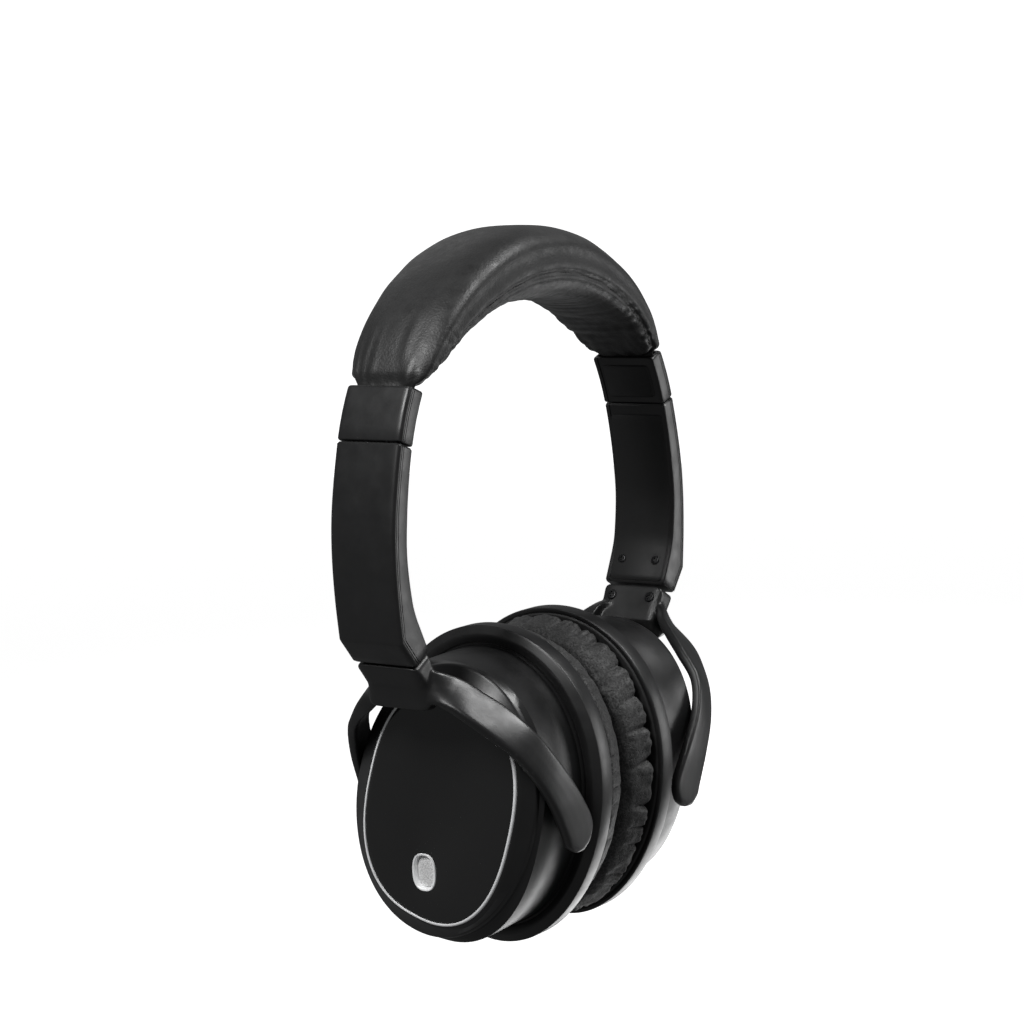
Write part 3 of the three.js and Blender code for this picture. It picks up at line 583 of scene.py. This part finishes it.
def cup_back(side, sign, looks):
    """The rim plate towards the head, with the opening that the driver looks out of."""
    outer = [(16.7, 2.3), (16.6, 1.9), (14.8, 1.8), (14.5, 2.1), (14.4, 2.6)]
    rings = [rim_ring(u, inset) for u, inset in outer]
    rings += [oval(14.4, 18.2, 18.2), oval(14.9, 18.0, 18.0), oval(16.7, 18.0, 18.0)]
    mesh = loft(f"{side}_rim_plate", rings, sign, True)
    add_object(f"{side}_rim_plate", mesh, looks["matte"], f"{side}_cup", [f"{side}_baffle"])


# ---------------------------------------------------------------- ear cushions

CUSHION_ROUND, CUSHION_SECTION = 300, 44
LOBES = 27  # puffs between the gathers, counted once round a cushion


def cushion_section(share):
    """The cushion's outline at a share of the way round its section, as (u, inset from the rim)."""
    outline = [(13.6, 8.0), (13.5, 5.6), (13.1, 3.6), (12.2, 2.3), (10.9, 1.9), (9.4, 2.3), (6.8, 3.2),
               (4.3, 4.1), (2.4, 5.4), (1.1, 8.0), (0.8, 11.6), (1.4, 15.8), (3.8, 18.6), (8.6, 19.8),
               (12.6, 19.8), (13.6, 18.6), (13.6, 13.0)]
    dense = catmull(outline + outline[:1], 8)
    at = share * (len(dense) - 1)
    i = min(int(at), len(dense) - 2)
    return tuple(a + (b - a) * (at - i) for a, b in zip(dense[i], dense[i + 1]))


def cushion_grid(sign):
    bm = bmesh.new()
    section = [cushion_section(k / CUSHION_SECTION) for k in range(CUSHION_SECTION)]
    add_loft(bm, [cushion_line(u, inset) for u, inset in section], sign, True)
    bmesh.ops.recalc_face_normals(bm, faces=bm.faces)
    return bm


def cushion_line(u, inset):
    """A line round the cushion; further in, it tends to the ear opening's longer oval."""
    share = max(0.0, min(1.0, (inset - 9) / 11))
    wide = CUP_WIDE - inset + share * -2.2
    high = CUP_HIGH - inset + share * -2.2
    return oval(u, wide, high, egg=CUP_EGG, steps=CUSHION_ROUND)


def inflate(piece, pinned, pressure, frames, cap):
    """Swells a pad by cloth simulation, then keeps the result within cap metres of where it was."""
    before = [v.co.copy() for v in piece.data.vertices]
    group = piece.vertex_groups.new(name="held")
    group.add([i for i, held in enumerate(pinned) if held], 1.0, "REPLACE")
    cloth = piece.modifiers.new("swell", "CLOTH")
    settings = cloth.settings
    settings.quality = 4
    settings.mass = 0.2
    settings.tension_stiffness = settings.compression_stiffness = 12
    settings.shear_stiffness = 8
    settings.bending_stiffness = 0.6
    settings.use_pressure = True
    settings.uniform_pressure_force = pressure
    settings.vertex_group_mass = "held"
    settings.effector_weights.gravity = 0
    cloth.collision_settings.use_collision = False
    cloth.point_cache.frame_start, cloth.point_cache.frame_end = 1, frames
    scene = bpy.context.scene
    for number in range(1, frames + 1):
        scene.frame_set(number)
    swollen = piece.evaluated_get(bpy.context.evaluated_depsgraph_get())
    after = [v.co.copy() for v in swollen.data.vertices]
    piece.modifiers.remove(cloth)
    piece.vertex_groups.remove(group)
    scene.frame_set(1)
    for vertex, old, new in zip(piece.data.vertices, before, after):
        step = new - old
        vertex.co = old + step * min(1.0, cap / max(step.length, 1e-9))


def gather_depth(angle, u, sign):
    """How far the cover sinks at an angle round the cushion, in mm: deep gathers, puffed lobes."""
    x, y = math.cos(angle), math.sin(angle)
    drift = noise.noise(Vector((x * 2.6, y * 2.6, sign * 7.0 + 1.5)))
    lean = 0.16 * noise.noise(Vector((x * 4, y * 4, 9.0))) * (13 - u) / 5
    at = (angle / math.tau + 1) * LOBES + drift * 1.5 + lean
    lobe = math.floor(at)
    off = abs(2 * (at - lobe) - 1)
    size = 0.7 + 0.9 * noise.noise(Vector((lobe * 0.73, sign * 3.1, 5.0)))
    low_side = 1 - 0.75 * ramp(-y, 0.25, 0.75)
    deep = 1.7 * size * ramp(u, 3.0, 11.5) * low_side
    puff = off ** 3.6 * deep
    crease = math.exp(-(((1 - off) * 6.5) ** 2)) * 0.8 * size * ramp(u, 1.5, 9) * low_side
    ripple = 0.16 * math.sin(at * 19 + 3 * drift) * ramp(u, 4, 12)
    return puff + crease + ripple


def gather(piece, sign):
    """Pulls the cushion's cover into radial gathers where it is sewn in beside the rim."""
    mesh = piece.data
    normals = [v.normal.copy() for v in mesh.vertices]
    for vertex, normal in zip(mesh.vertices, normals):
        u = abs(vertex.co.x) / MM
        y = vertex.co.y / MM / CUP_WIDE
        z = (vertex.co.z / MM + BAND_DROP - CUP_Z) / CUP_HIGH
        outside = ramp(math.hypot(y, z), 0.66, 0.82)
        inner = 0.35 * (1 - outside)
        wave = noise.noise(vertex.co * 190) * 0.35 + noise.noise(vertex.co * 460) * 0.16
        sink = gather_depth(math.atan2(z, y), u, sign) * (outside + inner)
        vertex.co -= normal * (sink - wave) * MM
    mesh.update()


def ear_cushion(side, sign, looks):
    bm = cushion_grid(sign)
    mesh = bpy.data.meshes.new(f"{side}_cushion")
    bm.to_mesh(mesh)
    bm.free()
    piece = add_object(f"{side}_cushion", mesh, looks["cushion"], f"{side}_cup",
                       [f"{side}_ear_cushion"])
    smooth_all(mesh)
    pinned = [abs(v.co.x) > 13.0 * MM for v in mesh.vertices]
    inflate(piece, pinned, 3.0, 16, 1.0 * MM)
    for vertex in mesh.vertices:
        u = min(13.8 * MM, max(0.42 * MM, abs(vertex.co.x)))
        vertex.co.x = sign * u
    mesh.update()
    subdivide(piece)
    gather(piece, sign)
    for vertex in piece.data.vertices:
        vertex.co.x = sign * min(13.9 * MM, max(0.42 * MM, abs(vertex.co.x)))
    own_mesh(piece)


def subdivide(piece):
    """One level of subdivision, written into the mesh."""
    modifier = piece.modifiers.new("fine", "SUBSURF")
    modifier.levels = modifier.render_levels = 1
    bake(piece)
    smooth_all(piece.data)


# ---------------------------------------------------------------- headband

PAD_HALF_ANGLE = 67.0  # the pad's ends, inside the caps
PAD_MOUTH = 64.6  # where it enters the caps
PAD_ROUND, PAD_LONG = 96, 360


def pad_size(angle):
    """Inner and outer radius and half width of the pad at an angle from the crown, in degrees."""
    share = min(1.0, abs(angle) / PAD_MOUTH)
    ease = share * share
    close = ramp(abs(angle), 61.0, PAD_MOUTH)
    inner = 53.7 + 16.0 * share ** 1.7 + 1.5 * close
    outer = 77.3 - 0.7 * ease - 1.3 * share ** 12 - 0.9 * close
    half = 18.6 - 2.2 * ease - 3.2 * share ** 8 - 2.7 * close
    return inner, outer, half


def pad_point(angle, y, r):
    turn = math.radians(angle)
    return (r * math.sin(turn), y, ARCH_Z + r * math.cos(turn))


def pad_section(angle, k):
    """(y, r) of the pad's section at a step k round it, in the middle of its swell."""
    inner, outer, half = pad_size(angle)
    t = 2 * math.pi * k / PAD_ROUND
    y = half * power(math.cos(t), 0.7)
    r = (inner + outer) / 2 + (outer - inner) / 2 * power(math.sin(t), 0.72)
    return y, r


def seam_radius(angle):
    """The radius at which the side seam runs."""
    inner, outer, _ = pad_size(angle)
    share = min(1.0, abs(angle) / 60)
    return inner + (outer - inner) * (0.36 - 0.14 * share)


def shape_pad(piece):
    """Sinks the side seams and puckers the leather beside them; folds run into the caps."""
    mesh = piece.data
    normals = [v.normal.copy() for v in mesh.vertices]
    for vertex, normal in zip(mesh.vertices, normals):
        x, y, z = vertex.co.x / MM, vertex.co.y / MM, vertex.co.z / MM + BAND_DROP - ARCH_Z
        angle = math.degrees(math.atan2(x, z))
        r = math.hypot(x, z)
        inner, outer, half = pad_size(angle)
        side = ramp(abs(y) / half, 0.6, 0.85)
        off = r - seam_radius(angle)
        end = ramp(abs(angle), 30, 62)
        groove = -0.95 * math.exp(-(off / 0.55) ** 2) * side
        roll = 0.3 * math.exp(-((abs(off) - 2.2) / 1.4) ** 2) * side
        drift = noise.noise(Vector((angle * 0.16, math.copysign(4, y), 2)))
        near = math.exp(-(off / 3.2) ** 2) * side
        pucker = 0.13 * math.sin(angle * 1.35 + 5 * drift) * near * (0.4 + end)
        ridge_r = inner + (outer - inner) * 0.66
        ridge = -0.55 * math.exp(-((r - ridge_r + 1.5) / 2.4) ** 2) * side
        soft = 0.3 * noise.noise(Vector((angle * 0.12, y * 0.07, r * 0.1)))
        fold = 0.75 * end ** 2 * noise.noise(Vector((y * 0.34, angle * 0.05, r * 0.34)))
        under = 0.35 * ramp(inner + 4 - r, 0, 4) * noise.noise(Vector((angle * 0.4, y * 0.06, 1)))
        calm = 1 - ramp(abs(angle), 63.5, 64.8)
        vertex.co += normal * (groove + roll + pucker + ridge + soft + fold + under) * calm * MM
    mesh.update()


def headband_pad(looks):
    rings = []
    for i in range(PAD_LONG + 1):
        angle = PAD_HALF_ANGLE * (2 * i / PAD_LONG - 1)
        section = [pad_section(angle, k) for k in range(PAD_ROUND)]
        rings.append([pad_point(angle, y, r) for y, r in section])
    bm = bmesh.new()
    add_loft(bm, rings, 1)
    bmesh.ops.recalc_face_normals(bm, faces=bm.faces)
    mesh = bpy.data.meshes.new("band_pad")
    bm.to_mesh(mesh)
    bm.free()
    piece = add_object("band_pad", mesh, looks["band"], "headband", ["headband_pad"])
    for polygon in mesh.polygons:
        polygon.use_smooth = len(polygon.vertices) == 4
    inflate(piece, [pad_is_sewn(v.co) for v in mesh.vertices], 2.0, 14, 0.6 * MM)
    mesh.update()
    shape_pad(piece)
    for name, front in (("front", 1), ("rear", -1)):
        stitches(f"band_stitches_{name}", front, looks)


def pad_is_sewn(co):
    """True on the seam lines and at the pad's two ends, where the leather can't swell."""
    x, z = co.x / MM, co.z / MM + BAND_DROP - ARCH_Z
    angle = math.degrees(math.atan2(x, z))
    on_side = abs(co.y) / MM > 0.8 * pad_size(angle)[2]
    return abs(angle) > 60.5 or (on_side and abs(math.hypot(x, z) - seam_radius(angle)) < 0.7)


def stitches(name, front, looks):
    """A row of short thread stitches lying in the side seam."""
    bm = bmesh.new()
    pitch, long, seam, last = 1.6467, 0.95, 68, 59.0
    angle = -last
    while angle < last:
        ahead = math.degrees(long / seam)
        a, b = (stitch_place(angle + d, front) for d in (0, ahead))
        add_capsule(bm, a, b, 0.16)
        angle += math.degrees(pitch / seam)
    mesh = bm_to_mesh(name, bm, 0)
    smooth_all(mesh)
    add_object(name, mesh, looks["thread"], "headband")


def stitch_place(angle, front):
    r = seam_radius(angle)
    inner, outer, half = pad_size(angle)
    lift = (r - (inner + outer) / 2) / ((outer - inner) / 2)
    y = half * (1 - abs(lift) ** (1 / 0.36)) ** 0.35
    return to_row(pad_point(angle, front * (y - 0.75), r))


def add_capsule(bm, a, b, radius):
    """A short thread from a to b, thinner at its ends."""
    along = (b - a).normalized()
    side = along.orthogonal().normalized()
    other = along.cross(side)
    rings = []
    for share, fat in ((0.0, 0.45), (0.2, 1.0), (0.8, 1.0), (1.0, 0.45)):
        centre = a.lerp(b, share)
        turn = [math.pi * k / 3 for k in range(6)]
        rings.append([
            bm.verts.new(centre + (side * math.cos(t) + other * math.sin(t)) * radius * fat * MM)
            for t in turn])
    bridge(bm, rings)
    bm.faces.new(rings[0])
    bm.faces.new(list(reversed(rings[-1])))


# ---------------------------------------------------------------- arms and end caps

ARM_OUT = [(75.65, 59.3), (78.1, 49), (80.2, 37), (80.9, 25), (80.4, 12), (79.1, 0)]
ARM_IN = [(69.4, 56.8), (71.4, 48), (73.1, 37), (73.9, 25), (72.4, 12), (70.4, 5.8)]
ARM_KNEE = ((78.7, -0.75), (70.0, 5.0))  # outer and inner points where the arm bends to its foot
ARM_FOOT = ((72.8, -8.0), (65.7, -3.9))
STRAP_HALF = 12
PARTING = (1.55, 2.35)  # depths of the fine lines along the sides
CAP_HALF_THICK, CAP_LONG = 3.4, 17.4


def strap_section(thick, half):
    """Round a flat arm's section: (depth from the outer face, y), with two fine parting lines."""
    edge = [(0.0, half - 2.2), (0.04, half - 1.3), (0.16, half - 0.75), (0.4, half - 0.35),
            (0.75, half - 0.1), (1.1, half)]
    for d in PARTING:
        edge += [(d, half), (d + 0.06, half - 0.28), (d + 0.22, half - 0.28), (d + 0.28, half)]
    edge += [(thick - 0.75, half), (thick - 0.3, half - 0.12), (thick - 0.06, half - 0.45),
             (thick, half - 1.1), (thick, half - 1.62), (thick - 0.3, half - 1.7),
             (thick - 0.3, half - 2.6)]
    return edge + [(d, -y) for d, y in reversed(edge)]


def ruled(outer, inner, section):
    """The section laid between an outer and an inner [u, z] point."""
    ou, oz = outer
    iu, iz = inner
    thick = math.hypot(iu - ou, iz - oz)
    return [(ou + (iu - ou) * d / thick, y, oz + (iz - oz) * d / thick) for d, y in section]


def arm_stations():
    outer = catmull(ARM_OUT, 10)
    inner = catmull(ARM_IN, 10)
    foot = [((79.0, -0.3), (70.2, 5.4)), ARM_KNEE]
    for share in (0.1, 0.4, 0.7, 0.93, 1.0):
        foot.append(tuple(tuple(a + (b - a) * share for a, b in zip(p, q))
                          for p, q in zip(ARM_KNEE, ARM_FOOT)))
    return list(zip(outer, inner)) + foot


def slider_arm(side, sign, looks):
    rings = []
    stations = arm_stations()
    for n, (outer, inner) in enumerate(stations):
        thick = math.hypot(inner[0] - outer[0], inner[1] - outer[1])
        inset = 0.35 if n in (0, len(stations) - 1) else 0.0
        section = strap_section(thick - 2 * inset, STRAP_HALF)
        narrow = 1 - inset / STRAP_HALF
        rings.append(ruled(outer, inner, [(d + inset, y * narrow) for d, y in section]))
    mesh = loft(f"{side}_arm", rings, sign, False, 30)
    body = f"{side}_slider"
    add_object(f"{side}_arm", mesh, looks["satin"], body, [f"{side}_slider_arm"])
    add_cover(f"{side}_arm_cover", body, sign, looks, arm_cover_line(), 10.8, f"{side}_slider_arm_cover")


def arm_cover_line():
    """The middle line of the arm's inner cover, from its low end to its high end."""
    high = [p for p in catmull(ARM_IN, 10) if 6.2 < p[1] < 53.2]
    return [(66.1, -3.1), (66.4, -2.4), (66.9, -1.4), (68.3, 1.4), (69.5, 3.9)] + list(reversed(high))


def add_cover(name, body, sign, looks, line, half, node):
    """A thin cover with rounded corners and rims, laid on the inner face along a [u, z] line."""
    section = [(0.30, half - 0.9), (0.1, half - 0.5), (-0.05, half - 0.25), (-0.35, half - 0.05),
               (-0.6, half), (-1.1, half)]
    section = section + [(d, -y) for d, y in reversed(section)]
    rings = []
    last = len(line) - 1
    for i, (u, z) in enumerate(line):
        au, az = line[max(i - 1, 0)]
        bu, bz = line[min(i + 1, last)]
        length = math.hypot(bu - au, bz - az)
        out = (-(bz - az) / length, (bu - au) / length)
        if out[0] > 0:
            out = (-out[0], -out[1])
        ends = min(i, last - i)
        pull = (0.9, 0.25, 0.05)[ends] if ends < 3 else 0.0
        sink, narrow = pull * 0.35, 1 - pull / half
        rings.append([(u + out[0] * (d - sink), y * narrow, z + out[1] * (d - sink)) for d, y in section])
    mesh = loft(name + "_fine", rings, sign, False, 40)
    add_object(name + "_fine", mesh, looks["matte"], body, [node])


def along_slide(t, s):
    """A [u, z] point of the cap's own frame: t through its thickness, s up along the slide."""
    c, n = math.cos(SLIDE_TILT), math.sin(SLIDE_TILT)
    return (MOUTH[0] + t * c - s * n, MOUTH[1] + t * n + s * c)


def cap_bulge(s):
    return 0.5 * math.sin(math.pi * s / CAP_LONG)


def cap_ring(s, outer_inset, bulge):
    thick, half = CAP_HALF_THICK - outer_inset, STRAP_HALF - outer_inset
    section = strap_section(2 * thick, half)
    return ruled(along_slide(thick + bulge, s), along_slide(bulge - thick, s), section)


def end_cap(side, sign, looks):
    stations = [(0.35, 0.4), (0.55, 0.12), (0.95, 0.0), (4.5, 0.0), (8.7, 0.0), (13, 0.0), (16.4, 0.0),
                (16.95, 0.1), (17.25, 0.35), (17.35, 0.75)]
    rings = [cap_ring(s, inset, cap_bulge(s)) for s, inset in stations]
    rings += [cap_ring(s, wall, 0.0) for s, wall in ((17.3, 1.15), (16.6, 1.25), (14.5, 1.3))]
    mesh = loft(f"{side}_cap", rings, sign, False, 30)
    add_object(f"{side}_cap", mesh, looks["satin"], "headband", [f"{side}_end_cap"])
    places = (2.6, 3.0, 3.6, 6, 8.7, 11, 13.4, 14.0, 14.4)
    line = [along_slide(cap_bulge(s) - CAP_HALF_THICK, s) for s in places]
    add_cover(f"{side}_cap_cover", "headband", sign, looks, line, 9.3, f"{side}_end_cap_cover")


# ---------------------------------------------------------------- forks

FORK_TOP = [
    (66.4, 0, -11.2), (65.2, 11.6, -10.0), (57.6, 17, -13.0), (53.6, 22.8, -17.6), (50.1, 28.8, -22.4),
    (46.6, 36.4, -30.0), (40.4, 40.2, -39.6), (32.4, 41.2, -49.6), (24.9, 41.0, -60.5), (25.6, 40.9, -66.8),
    (29.3, 40.8, -69.9)]
FORK_LOW = [
    (66.6, 0, -22.6), (66.9, 12, -20.2), (65.9, 18.6, -20.6), (63.9, 25, -24.4), (60.6, 30.2, -29.4),
    (55.4, 35.8, -36.6), (49.8, 39.3, -45.2), (43.9, 40.8, -54.6), (38.8, 41, -64.2), (37.2, 40.9, -67.6),
    (33.6, 40.8, -70.2)]
FORK_HUB = [(72.5, -8.7), (67.9, -15.6), (66.7, -22.4), (62.4, -22.8), (59.8, -19.0), (58.9, -15.6),
            (62.1, -10.1), (65.3, -4.6)]


def fork_rings(front):
    """The sections of one fork arm from its root to its rounded tip."""
    steps = 9
    top, low = catmull(FORK_TOP, steps), catmull(FORK_LOW, steps)
    rings = []
    last = len(top) - 1
    for i in range(1, last + 1):
        t = i / last
        a, b = Vector(top[i]), Vector(low[i])
        after = min(i + 1, last)
        ahead = Vector(top[after]) - Vector(top[i - 1]) + Vector(low[after]) - Vector(low[i - 1])
        down = (b - a).normalized()
        inward = ahead.cross(down).normalized()
        if inward.dot(Vector((10, 0, CUP_Z)) - a) < 0:
            inward.negate()
        width = (b - a).length
        thick = 3.2 + t if t < 0.3 else 3.5 - 0.5 * (t - 0.3) / 0.7
        narrower, closer = 1.0, 0.0
        if front > 0:  # this arm lies closer to the cup and has a thicker root
            root = math.sin(math.pi * min(1, t / 0.45))
            narrower -= 0.07 * math.sin(math.pi * min(1, t * 1.2)) + 0.02 * t + 0.05 * root
            closer = 3.4 * math.sin(math.pi * t) + 1.2 * root
            thick += 2.2 * root * root
        ring = []
        for along, deep in fork_profile(width, thick):
            p = a + down * along + inward * deep
            ring.append((p.x - closer, p.y * front * narrower, p.z))
        rings.append(ring)
    return rings


def fork_profile(width, thick):
    """The arm's section, (along its width, depth), with rounded corners and a slightly full face."""
    edge, full = 0.8, 0.25
    cut = edge * 0.3
    corner = [(0, edge), (cut, cut), (edge, 0)]
    far = [(width - edge, 0), (width - cut, cut), (width, edge)]
    under = [(width, thick - edge), (width - cut, thick - cut), (width - edge, thick)]
    back = [(edge, thick), (cut, thick - cut), (0, thick - edge)]
    middle = [(width * k / 4, -full * math.sin(math.pi * k / 4)) for k in (1, 2, 3)]
    return corner + middle + far + under + back


def yoke(side, sign, looks):
    bm = bmesh.new()
    rear = fork_rings(-1)
    fore = fork_rings(1)
    add_loft(bm, list(reversed(rear)) + fore, sign)
    half = 11.65
    stations = [(half, 2.2), (half - 0.25, 1.3), (half - 0.8, 0.65), (half - 1.7, 0.2), (half - 2.9, 0.0)]
    levels = [(y, inset) for y, inset in stations] + [(-y, inset) for y, inset in reversed(stations)]
    centre = Vector((sum(p[0] for p in FORK_HUB), sum(p[1] for p in FORK_HUB))) / len(FORK_HUB)
    hub = []
    for y, inset in levels:
        ring = []
        for u, z in FORK_HUB:
            away = (Vector((u, z)) - centre).normalized() * inset
            ring.append((u - away.x, y, z - away.y))
        hub.append(ring)
    add_loft(bm, hub, sign)
    bmesh.ops.recalc_face_normals(bm, faces=bm.faces)
    mesh = bpy.data.meshes.new(f"{side}_fork_arms")
    bm.to_mesh(mesh)
    bm.free()
    piece = add_object(f"{side}_fork_arms", mesh, looks["satin"], f"{side}_fork",
                       [f"{side}_yoke"])
    fuse(piece, 0.42)


def fuse(piece, voxel):
    """Joins overlapping shells into one skin with softly blended inner corners."""
    remesh = piece.modifiers.new("fuse", "REMESH")
    remesh.mode = "VOXEL"
    remesh.voxel_size = voxel * MM
    calm = piece.modifiers.new("calm", "SMOOTH")
    calm.factor = 0.5
    calm.iterations = 9
    bake(piece)
    smooth_all(piece.data)


# ---------------------------------------------------------------- screws, controls, inner pieces


def screw(name, centre, facing, radius, body, node, looks):
    """A small pan head with a cross recess, its top at centre, facing along a direction."""
    bm = bmesh.new()
    steps = 32
    profile = [(radius, -0.5), (radius, -0.25), (radius * 0.93, -0.1), (radius * 0.75, 0.0)]
    rings = [ring_at(bm, r, h, steps) for r, h in profile]
    bridge(bm, rings)
    bm.faces.new(list(reversed(rings[0])))
    arm, wide = radius * 0.58, radius * 0.16
    quarter = [(arm, -wide), (arm, wide), (wide, wide)]
    turns = ((1, 0), (0, 1), (-1, 0), (0, -1))
    cross = [(x * c - y * n, x * n + y * c) for c, n in turns for x, y in quarter]
    lip = [bm.verts.new((x, y, 0)) for x, y in cross]
    floor = [bm.verts.new((x * 0.8, y * 0.8, -radius * 0.45)) for x, y in cross]
    bridge(bm, [lip, floor])
    bm.faces.new(list(reversed(floor)))
    edges = [e for e in bm.edges if e.is_boundary]
    bmesh.ops.triangle_fill(bm, edges=edges, use_beauty=True)
    turn = Vector(facing).to_track_quat("Z", "Y").to_matrix().to_4x4()
    bm.transform(Matrix.Translation(centre) @ turn @ Matrix.Scale(MM, 4))
    # The head's near-black look is painted shade for the dark well round it.
    add_object(name, bm_to_mesh(name, bm, 40), looks["steel_painted_shade"], body, [node])


def ring_at(bm, radius, height, steps):
    turn = [2 * math.pi * i / steps for i in range(steps)]
    return [bm.verts.new((radius * math.cos(t), radius * math.sin(t), height)) for t in turn]


def screws(side, sign, looks):
    cap = along_slide(-3.0, 10.3)
    for place, front in (("front", 1), ("rear", -1)):
        for group, body, (u, z), across, facing, radius in (
            ("cap_screw", "headband", cap, 6.7, (-0.927, -0.375), 1.5),
            ("arm_screw", f"{side}_slider", (68.75, 3.75), 6.7, (-0.9, 0.434), 1.6),
            ("hub_screw", f"{side}_fork", (62.85, -7.95), 7.6, (-0.86, 0.5), 1.85),
        ):
            centre = to_row((u, front * across, z), sign)
            turned = (sign * facing[0], 0, facing[1])
            node = f"{side}_{group}_{place}"
            screw(node + "_head", centre, turned, radius, body, node, looks)


NODE_LOOKS = {
    "board": "board", "battery": "foil", "cloth": "cloth", "button": "satin", "switch": "satin",
    "jack": "matte",
}


def carried_over(looks):
    """Looks for the CAD nodes that show as they are."""
    for node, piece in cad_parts.items():
        if piece.hide_render:
            continue
        look = next((look for word, look in NODE_LOOKS.items() if word in node), "steel")
        piece.data.materials.clear()
        piece.data.materials.append(looks[look])


# ---------------------------------------------------------------- the whole

add_camera()
add_world()
add_lights()
add_stage()
looks = make_materials()
headband_pad(looks)
for side, sign in SIDES:
    end_cap(side, sign, looks)
    slider_arm(side, sign, looks)
    yoke(side, sign, looks)
    cup_shell(side, sign, looks)
    cup_front(side, sign, looks)
    cup_back(side, sign, looks)
    ear_cushion(side, sign, looks)
    screws(side, sign, looks)
carried_over(looks)
